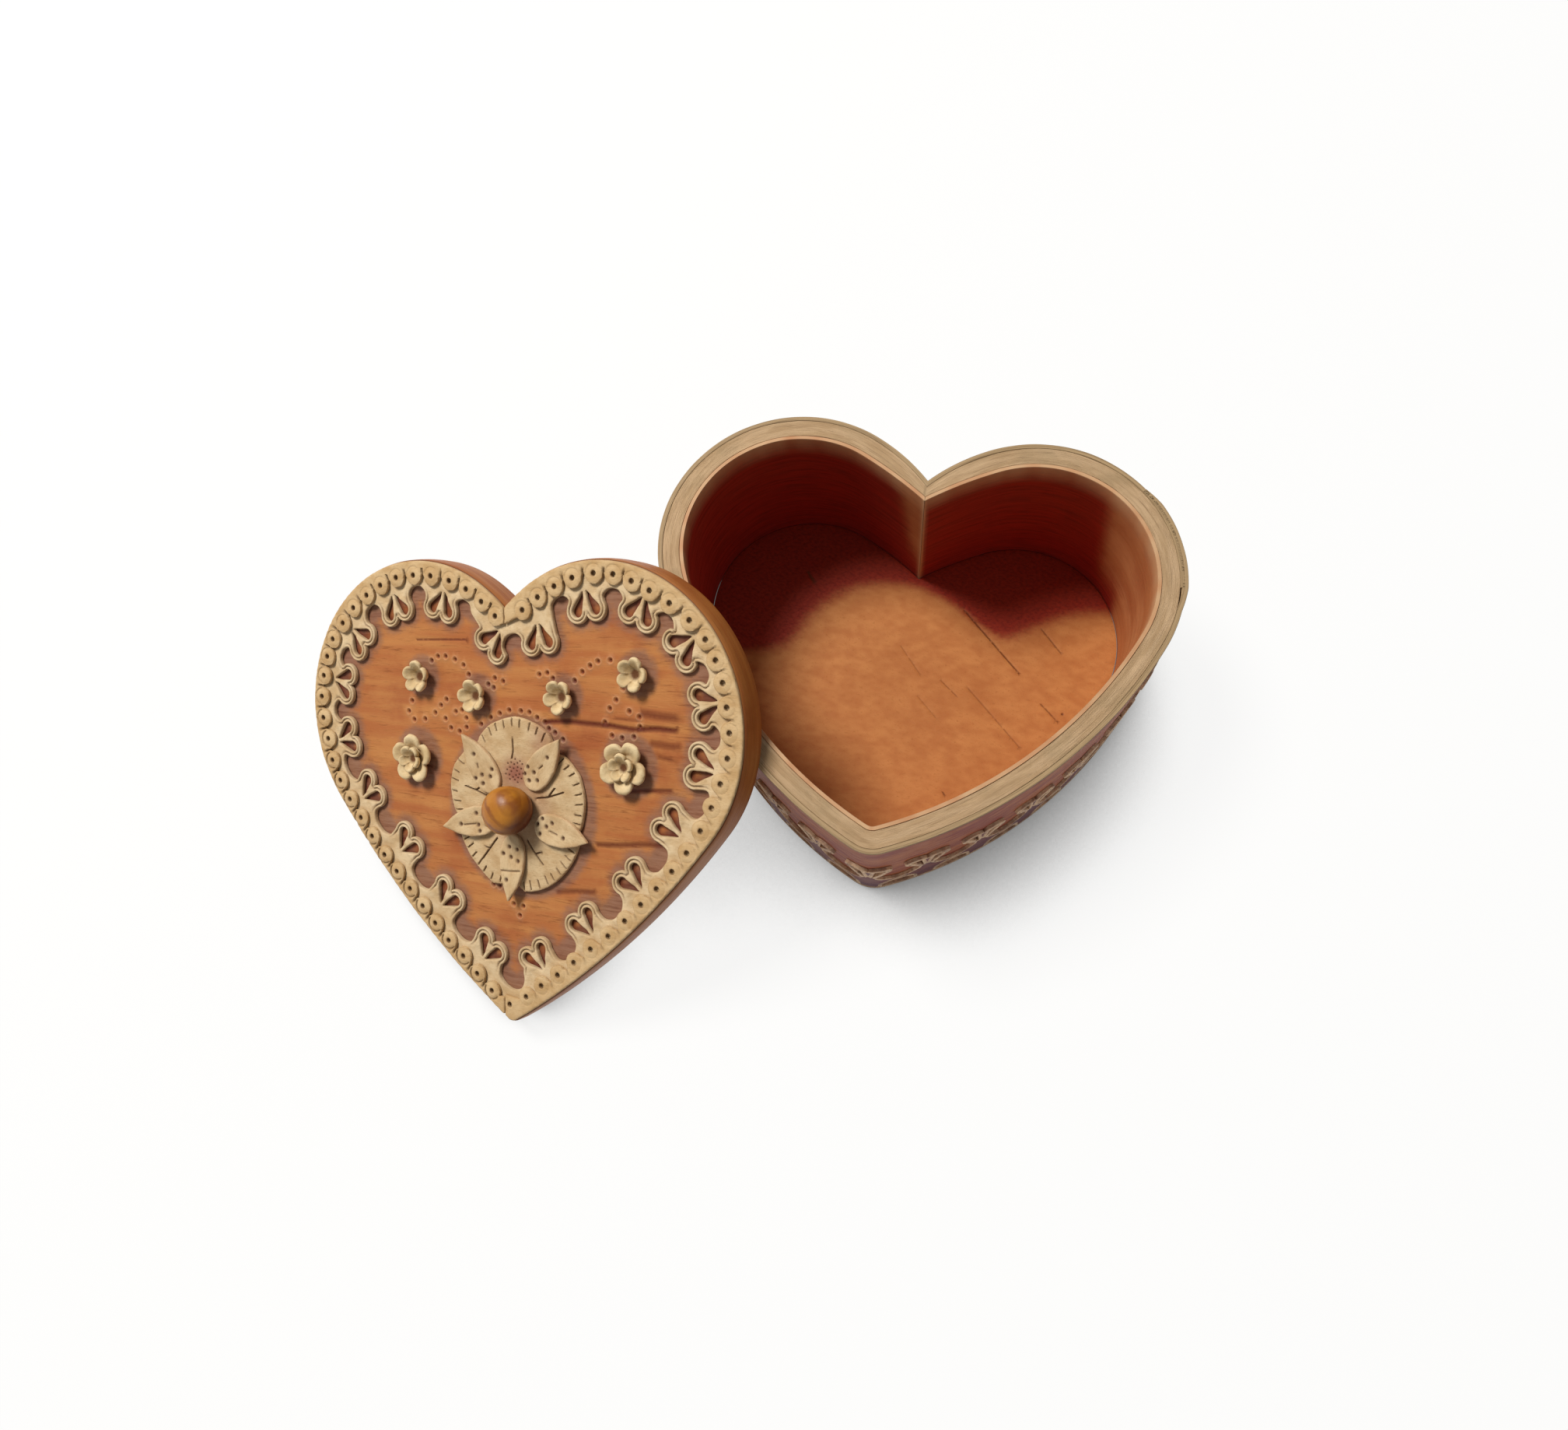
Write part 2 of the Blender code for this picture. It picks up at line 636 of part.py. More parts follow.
def petal_mesh():
    # A leaf along X from the rosette's middle: blunt at its foot, pointed and curled up at its tip.
    mesh = bmesh.new()
    rings = []
    for share, width_share in PETAL_STATION_SHARES:
        reach = PETAL_FOOT_REACH + share * PETAL_LENGTH
        half = width_share * PETAL_WIDTH / 2
        low = PETAL_CURL * share ** 2
        high = low + PETAL_THICKNESS
        corners = [(-half, low), (0.0, low), (half, low), (half, high), (0.0, high), (-half, high)]
        rings.append([mesh.verts.new((reach, across, height)) for across, height in corners])
    join_rings(mesh, rings)
    mesh.faces.new(rings[0])
    mesh.faces.new(rings[-1])
    bmesh.ops.recalc_face_normals(mesh, faces=mesh.faces)
    return mesh


def flower_mesh(radius, height, dish):
    # A cupped flower: a foot, petals rising to a lobed rim, and a hollow middle.
    dip = FLOWER_DIP_SHARE
    foot = 0.4 * radius
    profile = [
        (0.0, 0.0, 0.0),
        (foot, 0.0, 0.0),
        (0.62 * radius, 0.42 * height, dip / 2),
        (radius, 0.82 * height, dip),
        (0.94 * radius, height, dip),
        (foot, dish, 0.0),
        (0.0, dish, 0.0),
    ]
    return turned(profile, FLOWER_SIDES)


def bead_mesh():
    peg_top = PEG_REACH_SHARE * BEAD_HEIGHT + SEAT_GAP
    bore = PEG_RADIUS + PEG_CLEARANCE
    profile = [(0.0, peg_top, 0.0), (bore, peg_top, 0.0), (bore, 0.0, 0.0)]
    for radius_share, height_share in BEAD_RING_SHARES:
        profile.append((radius_share * BEAD_RADIUS, height_share * BEAD_HEIGHT, 0.0))
    profile.append((0.0, BEAD_HEIGHT, 0.0))
    return turned(profile, BEAD_SIDES)


def rosette_loops():
    # Five wide lobes whose valleys lie under the petals, round the peg's hole.
    edge = []
    count = 40
    for step in range(count):
        angle = 2 * math.pi * step / count + PETAL_ANGLES[1]
        valley = abs(math.cos(FLOWER_PETALS * (angle - PETAL_ANGLES[1]) / 2)) ** 3
        edge.append(ROSETTE_RADIUS * (1 - ROSETTE_DIP_SHARE * valley) * on_circle(angle))
    return [edge, circle(Vector((0.0, 0.0)), PEG_RADIUS + PEG_CLEARANCE, PEG_SIDES)]


def add_lid(finishes):
    frame = bpy.data.objects.new("lid_frame", None)
    bpy.context.scene.collection.objects.link(frame)
    frame.matrix_world = lid_matrix(lean_slope())
    middle = LID_HALF_WIDTH * Vector(ROSETTE_PLACE_SHARES)
    peg_hole = circle(middle, PEG_RADIUS + PEG_CLEARANCE, PEG_SIDES)
    top = heart_loop(LID_SHAPE)
    band = [top, heart_loop(LID_SHAPE, -LID_WALL)]
    board = [heart_loop(LID_SHAPE, -LID_WALL - SEAT_GAP), peg_hole]
    sheet_low = SHEET_TOP - TOP_SHEET_THICKNESS
    lace_low = LACE_TOP - LACE_THICKNESS
    add_piece("lid_band", plate(band, -LID_HEIGHT, LID_CORE_TOP), finishes["bark"], frame)
    add_piece("lid_board", plate(board, LID_BOARD_LOW, LID_CORE_TOP), finishes["edge"], frame)
    add_piece("lid_top_sheet", plate([top, peg_hole], sheet_low, SHEET_TOP), finishes["bark"], frame)
    add_piece("lace_frame", plate(lace_loops(), lace_low, LACE_TOP), finishes["lace"], frame)
    right = border_loops()
    left = [mirrored(loop) for loop in right]
    add_piece("scallop_border_right", plate(right, -BORDER_THICKNESS, 0.0), finishes["lace"], frame)
    add_piece("scallop_border_left", plate(left, -BORDER_THICKNESS, 0.0), finishes["lace"], frame)
    add_knob(finishes, frame, middle)
    add_flowers(finishes, frame)


def add_knob(finishes, frame, middle):
    base = plate(rosette_loops(), 0.0, ROSETTE_THICKNESS)
    add_piece("rosette_base", base, finishes["lace"], frame, place=(*middle, FLOWER_SEAT))
    for number, angle in enumerate(PETAL_ANGLES, 1):
        name = "petal_" + str(number)
        add_piece(name, petal_mesh(), finishes["lace"], frame, True, (*middle, BEAD_SEAT), angle)
    add_piece("bead_knob", bead_mesh(), finishes["bead"], frame, True, (*middle, BEAD_SEAT))
    peg_top = BEAD_SEAT + PEG_REACH_SHARE * BEAD_HEIGHT
    peg = plate([circle(middle, PEG_RADIUS, PEG_SIDES)], LID_BOARD_LOW, peg_top)
    add_piece("knob_peg", peg, finishes["bead"], frame)


def add_flowers(finishes, frame):
    petal_dish = 0.35 * SMALL_FLOWER_HEIGHT
    for name, shares in SMALL_FLOWER_SHARES.items():
        place = (*(LID_HALF_WIDTH * Vector(shares)), FLOWER_SEAT)
        mesh = flower_mesh(SMALL_FLOWER_RADIUS, SMALL_FLOWER_HEIGHT, petal_dish)
        add_piece(name, mesh, finishes["lace"], frame, True, place)
    inner_dish = 0.35 * INNER_FLOWER_HEIGHT
    for name, shares in DOUBLE_FLOWER_SHARES.items():
        place = LID_HALF_WIDTH * Vector(shares)
        outer = flower_mesh(OUTER_FLOWER_RADIUS, OUTER_FLOWER_HEIGHT, OUTER_FLOWER_DISH)
        add_piece(name + "_outer", outer, finishes["lace"], frame, True, (*place, FLOWER_SEAT))
        inner_seat = FLOWER_SEAT + OUTER_FLOWER_DISH + SEAT_GAP
        inner = flower_mesh(INNER_FLOWER_RADIUS, INNER_FLOWER_HEIGHT, inner_dish)
        add_piece(name + "_inner", inner, finishes["lace"], frame, True, (*place, inner_seat))


INNER_NOTCH = notch_end(BOX_SHAPE) - NOTCH_WALL
INNER_SHAPE = dict(BOX_SHAPE, notch=notch_radius_through(BOX_SHAPE, INNER_NOTCH, -LINER_INNER))

clear_scene()
FINISHES = {
    "bark": material("birch_bark_amber", (0.46, 0.19, 0.07), 0.55),
    "edge": material("birch_bark_edge", (0.60, 0.43, 0.25), 0.75),
    "lace": material("birch_bark_pale", (0.66, 0.50, 0.27), 0.6),
    "bead": material("varnished_wood", (0.44, 0.19, 0.03), 0.25),
}
add_box(FINISHES)
add_lid(FINISHES)
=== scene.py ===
# The birch bark box of the photograph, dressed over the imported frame.
# Lengths are millimetres and angles in degrees unless a note says otherwise.

import math

import bmesh
import bpy
import numpy as np
from mathutils import Matrix, Vector, noise
from mathutils.geometry import delaunay_2d_cdt
from mathutils.kdtree import KDTree


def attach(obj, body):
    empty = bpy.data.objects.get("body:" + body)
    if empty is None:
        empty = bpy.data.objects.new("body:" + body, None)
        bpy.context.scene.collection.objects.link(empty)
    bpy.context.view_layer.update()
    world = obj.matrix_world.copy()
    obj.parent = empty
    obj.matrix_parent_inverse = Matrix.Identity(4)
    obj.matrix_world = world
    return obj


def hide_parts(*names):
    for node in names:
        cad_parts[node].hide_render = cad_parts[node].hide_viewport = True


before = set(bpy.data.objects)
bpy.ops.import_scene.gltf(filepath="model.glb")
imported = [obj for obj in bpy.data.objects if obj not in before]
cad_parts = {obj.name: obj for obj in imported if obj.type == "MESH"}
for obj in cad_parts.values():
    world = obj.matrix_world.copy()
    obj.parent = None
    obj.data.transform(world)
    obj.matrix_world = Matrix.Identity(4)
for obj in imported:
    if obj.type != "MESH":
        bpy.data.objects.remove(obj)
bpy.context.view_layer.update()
print("frame loaded")

mm = 0.001

# The outlines of the frame's two hearts: in each half a notch arc, a lobe, a flank and a tip arc
boxShape = {
    "lobeX": 29.7, "lobe": 35.3, "notch": 50.0, "notchAngle": math.radians(116),
    "flank": 115.0, "flankAngle": math.radians(-23), "tip": 9.0,
}
innerShape = dict(boxShape, notch=120.63)  # flatter at the notch, where the wall is thicker
lidShape = {
    "lobeX": 29.3, "lobe": 41.0, "notch": 54.0, "notchAngle": math.radians(122),
    "flank": 245.0, "flankAngle": math.radians(-38), "tip": 2.5,
}
lidHalf = 70.3  # half the lid's width

# How the lid leans on the rim in the frame
lidPlace = {"slope": 30.5796, "climb": 51.19, "turn": 3.49, "middle": (-97.46, -53.67, 39.76)}
uphill = math.radians(lidPlace["climb"])
leanAxis = Vector((math.sin(uphill), -math.cos(uphill), 0))
lidMatrix = (
    Matrix.Translation(Vector(lidPlace["middle"]) * mm)
    @ Matrix.Rotation(math.radians(lidPlace["slope"]), 4, leanAxis)
    @ Matrix.Rotation(math.radians(lidPlace["turn"]), 4, "Z")
)


# Outlines


def onCircle(angle):
    # The angle is in radians here.
    return Vector((math.cos(angle), math.sin(angle)))


def heartArcs(shape, offset=0.0):
    # The right half's arcs from the notch to the tip: middle, radius, first and last angle.
    lobe = Vector((shape["lobeX"], 0))
    notch = lobe - (shape["notch"] - shape["lobe"]) * onCircle(shape["notchAngle"])
    flank = lobe - (shape["flank"] - shape["lobe"]) * onCircle(shape["flankAngle"])
    reach = shape["flank"] - shape["tip"]
    tip = Vector((0, flank.y - math.sqrt(reach ** 2 - flank.x ** 2)))
    notchStart = math.acos(-notch.x / (shape["notch"] + offset))
    arcs = [
        (notch, shape["notch"] + offset, notchStart, shape["notchAngle"]),
        (lobe, shape["lobe"] + offset, shape["notchAngle"], shape["flankAngle"]),
    ]
    tipRadius = shape["tip"] + offset
    smallestTip = 0.6  # below it the flanks meet in a point
    if tipRadius > smallestTip:
        tipAngle = math.atan2(tip.y - flank.y, tip.x - flank.x)
        arcs.append((flank, shape["flank"] + offset, shape["flankAngle"], tipAngle))
        arcs.append((tip, tipRadius, tipAngle, -math.pi / 2))
    else:
        tipAngle = -math.acos(-flank.x / (shape["flank"] + offset))
        arcs.append((flank, shape["flank"] + offset, shape["flankAngle"], tipAngle))
    return arcs


def halfLength(shape):
    return sum(radius * (first - last) for centre, radius, first, last in heartArcs(shape))


def heartPoint(shape, distance, offset=0.0, onto=None):
    # The place at a distance round the heart from the notch, moved out, or what faces it on a second heart.
    distance, offset = float(distance), float(offset)
    length = halfLength(shape)
    onLeft = distance > length
    left = 2 * length - distance if onLeft else distance
    arcs = heartArcs(shape)
    for index, (centre, radius, first, last) in enumerate(arcs):
        run = radius * (first - last)
        if left <= run or index == len(arcs) - 1:
            break
        left -= run
    share = min(max(left / run, 0.0), 1.0)
    target = heartArcs(onto or shape, offset)
    if index >= len(target):
        index, share = len(target) - 1, 1.0
    centre, radius, first, last = target[index]
    point = centre + radius * onCircle(first + (last - first) * share)
    return Vector((-point.x, point.y)) if onLeft else point


def inward(shape, distance, along, depth):
    # The place at a distance round the heart, then along its edge and in from it.
    near = 0.3
    before = heartPoint(shape, distance - near)
    onward = (heartPoint(shape, distance + near) - before).normalized()
    normal = Vector((-onward.y, onward.x))
    return heartPoint(shape, distance) + along * onward - depth * normal


def heartLoop(shape, offset=0.0, step=0.5):
    right = []
    for centre, radius, first, last in heartArcs(shape, offset):
        count = max(2, math.ceil(radius * (first - last) / step))
        for part in range(count):
            right.append(centre + radius * onCircle(first + (last - first) * part / count))
    right[0].x = 0.0
    tip = Vector((0, centre.y + radius * math.sin(last)))
    return right + [tip] + mirrored(right[1:])


def mirrored(points):
    return [Vector((-point.x, point.y)) for point in reversed(points)]


def arc(middle, radius, first, last, count):
    angles = [first + (last - first) * part / (count - 1) for part in range(count)]
    return [Vector(middle) + radius * onCircle(math.radians(angle)) for angle in angles]


def splined(points, step=0.4, parts=None):
    # A smooth line through the points, without its two end points, which only guide it.
    line = []
    for a, b, c, d in zip(points, points[1:], points[2:], points[3:]):
        count = parts or max(2, math.ceil((c - b).length / step))
        for part in range(count):
            t = part / count
            line.append(0.5 * (
                2 * b + (c - a) * t + (2 * a - 5 * b + 4 * c - d) * t ** 2
                + (3 * b - a - 3 * c + d) * t ** 3))
    return line + [points[-2]]


def spaced(points, step, closed=True):
    # The same line with points at an even distance.
    ends = points + [points[0]] if closed else points
    flat = asRows(ends)
    runs = np.concatenate([[0], np.cumsum(np.hypot(*np.diff(flat, axis=0).T))])
    count = max(3, round(runs[-1] / step))
    at = np.linspace(0, runs[-1], count + 1)
    if closed:
        at = at[:-1]
    return [Vector(pair) for pair in zip(np.interp(at, runs, flat[:, 0]), np.interp(at, runs, flat[:, 1]))]


def asRows(points):
    return np.array([(point.x, point.y) for point in points])


# Carving


def addMesh(name, points, faces, attributes, sharp=55):
    # The attributes are numpy arrays with one number or three for each point; unused points go.
    data = bpy.data.meshes.new(name)
    used = np.unique([corner for corners in faces for corner in corners])
    order = np.full(len(points), -1)
    order[used] = np.arange(len(used))
    faces = [[int(order[corner]) for corner in corners] for corners in faces]
    data.from_pydata((np.asarray(points)[used] * mm).tolist(), [], faces)
    for key, values in attributes.items():
        values = np.asarray(values, dtype=np.float32)
        values = values.reshape(len(points), -1).squeeze()[used]
        isVector = values.ndim == 2
        layer = data.attributes.new(key, "FLOAT_VECTOR" if isVector else "FLOAT", "POINT")
        layer.data.foreach_set("vector" if isVector else "value", values.ravel())
    mesh = bmesh.new()
    mesh.from_mesh(data)
    bmesh.ops.recalc_face_normals(mesh, faces=mesh.faces)
    mesh.to_mesh(data)
    mesh.free()
    data.shade_smooth()
    data.set_sharp_from_angle(angle=math.radians(sharp))
    made = bpy.data.objects.new(name, data)
    bpy.context.scene.collection.objects.link(made)
    return made


def finishPiece(made, body, node, material):
    # A piece of the box stands for its node and rides on the box.
    made.data.materials.append(material)
    bpy.context.view_layer.update()
    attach(made, body)
    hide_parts(node)


def finishOnLid(made, node, slot, material, at=(0.0, 0.0), high=0.0, turn=0.0):
    # A piece made flat goes to its place on the lid and leans with it.
    place = Matrix.Translation(Vector((*at, high)) * mm) @ Matrix.Rotation(math.radians(turn), 4, "Z")
    made.data.transform(lidMatrix @ place)
    finishPiece(made, "lid", node, material)


def distancesTo(points, lines, step=0.12):
    # How far each point is from the nearest of the closed lines.
    samples = [sample for line in lines for sample in spaced(line, step)]
    tree = KDTree(len(samples))
    for index, sample in enumerate(samples):
        tree.insert((sample.x, sample.y, 0), index)
    tree.balance()
    return np.array([tree.find((x, y, 0))[2] for x, y in points])


def toNearest(flat, spots):
    return np.min(np.hypot(flat[:, None, 0] - spots[None, :, 0], flat[:, None, 1] - spots[None, :, 1]), axis=1)


def fade(value, width, start=0.0):
    # 1 up to the start, then down to 0 over the width.
    return np.clip((start + width - value) / width, 0, 1)


def bell(value, middle, width):
    return np.exp(-((value - middle) / width) ** 2)


def rounding(away, width, depth):
    # A rounded edge: full depth at the rim, none from width inward.
    share = fade(away, width)
    return depth * (1 - np.sqrt(np.clip(1 - share * share, 0, 1)))


def wavy(flat, size, seed, amount):
    return amount * np.array([noise.noise((x / size, y / size, seed)) for x, y in flat])


def carveMark(points, half, depth, dark):
    # A cut, or a punched hole where there is one point: half its width, its depth and how dark it is. The dark in
    # carved cuts and punched holes is partly the bark's own colour and partly painted shade; in streaks and pores it is
    # the bark's own colour.
    line = [Vector(point) for point in points]
    return {"line": line if len(line) > 1 else line * 2, "half": half, "depth": depth, "dark": dark}


def marksDistance(points, marks):
    # The depth and the darkness that the marks give each point.
    depth = np.zeros(len(points))
    dark = np.zeros(len(points))
    for mark in marks:
        line = mark["line"]
        best = np.full(len(points), np.inf)
        for start, end in zip(line, line[1:]):
            run = np.array(end - start)
            rel = points - np.array(start)
            share = np.clip(rel @ run / max(run @ run, 1e-9), 0, 1)
            best = np.minimum(best, np.hypot(*(rel - share[:, None] * run).T))
        near = fade(best, mark["half"])
        near = near * near * (3 - 2 * near)
        depth = np.maximum(depth, mark["depth"] * near)
        dark = np.maximum(dark, mark["dark"] * np.clip(near * 1.4, 0, 1))
    return depth, dark


def markPoints(marks, step):
    # The extra points that give a mark its shape: rings round a hole, five rows along a cut.
    extra = []
    for mark in marks:
        half, line = mark["half"], mark["line"]
        if (line[0] - line[-1]).length < 1e-6:
            for share in (0.45, 0.75, 1.05):
                extra += arc(line[0], half * share, 0, 330, 12)
            extra.append(line[0])
            continue
        dense = spaced(line, step, closed=False)
        for here, there in zip(dense, dense[1:]):
            onward = (there - here).normalized()
            side = Vector((-onward.y, onward.x))
            extra += [here + share * half * side for share in (-1, -0.5, 0, 0.5, 1)]
    return extra


def fillPoints(rims, form):
    # Rows of points beside each rim and an even triangle grid between them, each with its least distance.
    fill = []
    for rim in rims:
        for ring in form["rings"]:
            for before, here, after in zip([rim[-1], *rim], rim, [*rim[1:], rim[0]]):
                onward = (after - before).normalized()
                side = Vector((-onward.y, onward.x))
                fill += [(here + ring * side, ring * 0.9), (here - ring * side, ring * 0.9)]
    grid = form["grid"]
    rowHeight = grid * 0.866
    flat = asRows(rims[0])
    low, high = flat.min(0), flat.max(0)
    clear = form["rings"][-1] + grid * 0.35
    for row in range(int((high[1] - low[1]) / rowHeight) + 2):
        for column in range(int((high[0] - low[0]) / grid) + 2):
            x = low[0] + (column + 0.5 * (row % 2)) * grid
            fill.append((Vector((x, low[1] + row * rowHeight)), clear))
    return fill


def carvedSheet(name, loops, form, relief, bend=None, marks=(), groups=None, extra=()):
    # A carved sheet: the first loop is its edge, the others its holes. relief lowers its top.
    rims = [spaced(loop, form["step"]) for loop in loops]
    groups = groups or [list(range(len(loops)))]
    points = [point for rim in rims for point in rim]
    borders = []
    for rim in rims:
        start = sum(len(border) for border in borders)
        borders.append(list(range(start, start + len(rim))))
    fill = fillPoints(rims, form)
    away = distancesTo([(point.x, point.y) for point, least in fill], loops)
    points += [point for (point, least), reach in zip(fill, away) if reach > least]
    extra = list(extra) + markPoints(marks, form["step"])
    if extra:
        clear = distancesTo([(point.x, point.y) for point in extra], loops) > 0.08
        points += [point for point, isClear in zip(extra, clear) if isClear]
    flatPoints, edges, triangles = delaunay_2d_cdt(points, [], borders, 2, 1e-4)[:3]
    flat = asRows(flatPoints)
    away = [distancesTo(flat, [loops[index] for index in group]) for group in groups]
    down, dark = marksDistance(flat, marks)
    drop, values = relief(flat, away, down)
    sides = {
        (here, there): True for corners in triangles for here, there in zip(corners, [*corners[1:], corners[0]])
    }
    outer = [(here, there) for here, there in sides if (there, here) not in sides]
    rimIndex = sorted({index for pair in outer for index in pair})
    below = {index: len(flat) + order for order, index in enumerate(rimIndex)}
    faces = [list(corners) for corners in triangles]
    faces += [[there, here, below[here], below[there]] for here, there in outer]
    faces += [[below[corner] for corner in reversed(corners)] for corners in underside(flat, outer, rimIndex)]
    heights = np.concatenate([form["top"] - drop, np.full(len(rimIndex), form["low"])])
    place = np.column_stack([np.vstack([flat, flat[rimIndex]]), heights])
    attributes = {"place": place}
    for key, value in {"mark": dark, **values}.items():
        attributes[key] = np.concatenate([value, value[rimIndex]])
    return addMesh(name, place if bend is None else bend(place), faces, attributes)


def underside(flat, outer, rimIndex):
    # The flat bottom between the same rims, from as few faces as it takes.
    order = {index: number for number, index in enumerate(rimIndex)}
    points = [Vector(flat[index]) for index in rimIndex]
    onward = {order[here]: order[there] for here, there in outer}
    faces = []
    left = set(onward)
    while left:
        first = left.pop()
        loop = [first]
        step = onward[first]
        while step != first:
            loop.append(step)
            left.discard(step)
            step = onward[step]
        faces.append(loop)
    flatPoints, edges, triangles, verts = delaunay_2d_cdt(points, [], faces, 2, 1e-5)[:4]
    found = [[rimIndex[verts[corner][0]] for corner in corners if verts[corner]] for corners in triangles]
    return [corners for corners in found if len(corners) == 3]


def ribbon(name, sections, places, values, closed=True):
    # A strip from its cross sections, each a closed ring of points.
    sections = np.asarray(sections, dtype=float)
    count, rows = sections.shape[:2]
    faces = []
    for column in range(count if closed else count - 1):
        after = (column + 1) % count
        for row in range(rows):
            up = (row + 1) % rows
            faces.append([column * rows + row, after * rows + row, after * rows + up, column * rows + up])
    if not closed:
        faces.append(list(range(rows)))
        faces.append([(count - 1) * rows + row for row in reversed(range(rows))])
    attributes = {"place": np.asarray(places, dtype=float).reshape(-1, 3)}
    for key, value in values.items():
        attributes[key] = np.asarray(value, dtype=float).ravel()
    return addMesh(name, sections.reshape(-1, 3), faces, attributes, 50)


def turnedMesh(profile, sides, shape=None):
    # profile: rows of radius and height that start and end on the axis; shape bends a ring's points.
    points = []
    faces = []
    rings = []
    for row, (radius, height) in enumerate(profile):
        onAxis = radius < 1e-6
        ring = []
        for side in range(1 if onAxis else sides):
            angle = 2 * math.pi * side / sides
            ring.append(len(points))
            points.append(shape(radius, height, angle, row) if shape else (*(radius * onCircle(angle)), height))
        rings.append(ring)
    for first, second in zip(rings, rings[1:]):
        for side in range(sides):
            after = (side + 1) % sides
            if len(first) == 1:
                faces.append([first[0], second[side], second[after]])
            elif len(second) == 1:
                faces.append([first[after], first[side], second[0]])
            else:
                faces.append([first[after], first[side], second[side], second[after]])
    return np.array(points), faces


def smoothProfile(rows, parts):
    points = [Vector(row) for row in rows]
    guide = [points[0] * 2 - points[1], *points, points[-1] * 2 - points[-2]]
    return [(max(point.x, 0.0), point.y) for point in splined(guide, parts=parts)]


# Material helpers


def colour(text):
    # A screen colour in hexadecimal, turned to the linear values that the shader uses.
    parts = [int(text[start:start + 2], 16) / 255 for start in (1, 3, 5)]
    linear = [part / 12.92 if part <= 0.04045 else ((part + 0.055) / 1.055) ** 2.4 for part in parts]
    return (*linear, 1.0)


def addNode(tree, kind, settings=None, links=None):
    node = tree.nodes.new(kind)
    for key, value in (settings or {}).items():
        setattr(node, key, value)
    for key, value in (links or {}).items():
        if isinstance(value, bpy.types.NodeSocket):
            tree.links.new(value, node.inputs[key])
        else:
            node.inputs[key].default_value = value
    return node


def newMaterial(name):
    made = bpy.data.materials.new(name)
    made.use_nodes = True
    return made, made.node_tree, made.node_tree.nodes["Principled BSDF"]


def grain(tree, size, detail, rough, turn=0.0, bend=0.0, onObject=False):
    # Noise whose cells have this size, on the piece's own flat place or on the frame's object in metres.
    if onObject:
        source, unit = addNode(tree, "ShaderNodeTexCoord").outputs["Object"], mm
    else:
        source, unit = addNode(tree, "ShaderNodeAttribute", {"attribute_name": "place"}).outputs["Vector"], 1.0
    laid = addNode(tree, "ShaderNodeMapping", {}, {
        "Vector": source, "Rotation": (0, 0, math.radians(turn)), "Scale": [1 / (part * unit) for part in size]})
    return addNode(tree, "ShaderNodeTexNoise", {}, {
        "Vector": laid.outputs[0], "Scale": 1.0, "Detail": detail, "Roughness": rough, "Distortion": bend}).outputs[0]


def layered(tree, base, layers):
    # Colours laid over a base. Each layer: the pattern, or the name of the mesh's own values, that says
    # where it lies; the values from which and at which it is all there; how strong it gets; its colour.
    base = colour(base) if isinstance(base, str) else base
    for where, low, high, most, tone in layers:
        curve = "SMOOTHSTEP"
        if isinstance(where, str):
            where = addNode(tree, "ShaderNodeAttribute", {"attribute_name": where}).outputs["Fac"]
            curve = "LINEAR"
        share = addNode(tree, "ShaderNodeMapRange", {"interpolation_type": curve}, {
            "Value": where, "From Min": low, "From Max": high, "To Max": most})
        tone = colour(tone) if isinstance(tone, str) else tone
        base = addNode(tree, "ShaderNodeMix", {"data_type": "RGBA"}, {
            0: share.outputs[0], 6: base, 7: tone}).outputs[2]
    return base


def finishSurface(tree, shader, base, rough, heights, bump=0.0, depth=0.0, shine=0.2):
    # rough: a pattern and the roughness at its low and high ends. heights: patterns that stand proud, and
    # their shares. shine: the specular level, low because dry bark shines little.
    pattern, smooth, dull = rough
    spread = addNode(tree, "ShaderNodeMapRange", {"interpolation_type": "SMOOTHSTEP"}, {
        "Value": pattern, "From Min": 0.2, "From Max": 0.8, "To Min": smooth, "To Max": dull})
    tree.links.new(base, shader.inputs["Base Color"])
    tree.links.new(spread.outputs[0], shader.inputs["Roughness"])
    shader.inputs["Specular IOR Level"].default_value = shine
    shader.inputs["IOR"].default_value = 1.46
    shader.inputs["Metallic"].default_value = 0.0
    if not heights:
        return
    height = 0.0
    for pattern, share in heights:
        height = addNode(tree, "ShaderNodeMath", {"operation": "MULTIPLY_ADD"}, {
            0: pattern, 1: share, 2: height}).outputs[0]
    relief = addNode(tree, "ShaderNodeBump", {}, {"Height": height, "Strength": bump, "Distance": depth * mm})
    tree.links.new(relief.outputs[0], shader.inputs["Normal"])


def seenWhite(tree):
    # 1 for the rays that look at the scene: straight, in a shiny surface or through a clear one.
    path = addNode(tree, "ShaderNodeLightPath").outputs
    shown = path["Is Camera Ray"]
    for kind in ("Is Glossy Ray", "Is Transmission Ray"):
        shown = addNode(tree, "ShaderNodeMath", {"operation": "MAXIMUM"}, {0: shown, 1: path[kind]}).outputs[0]
    return shown


print("tools ready")


# Materials


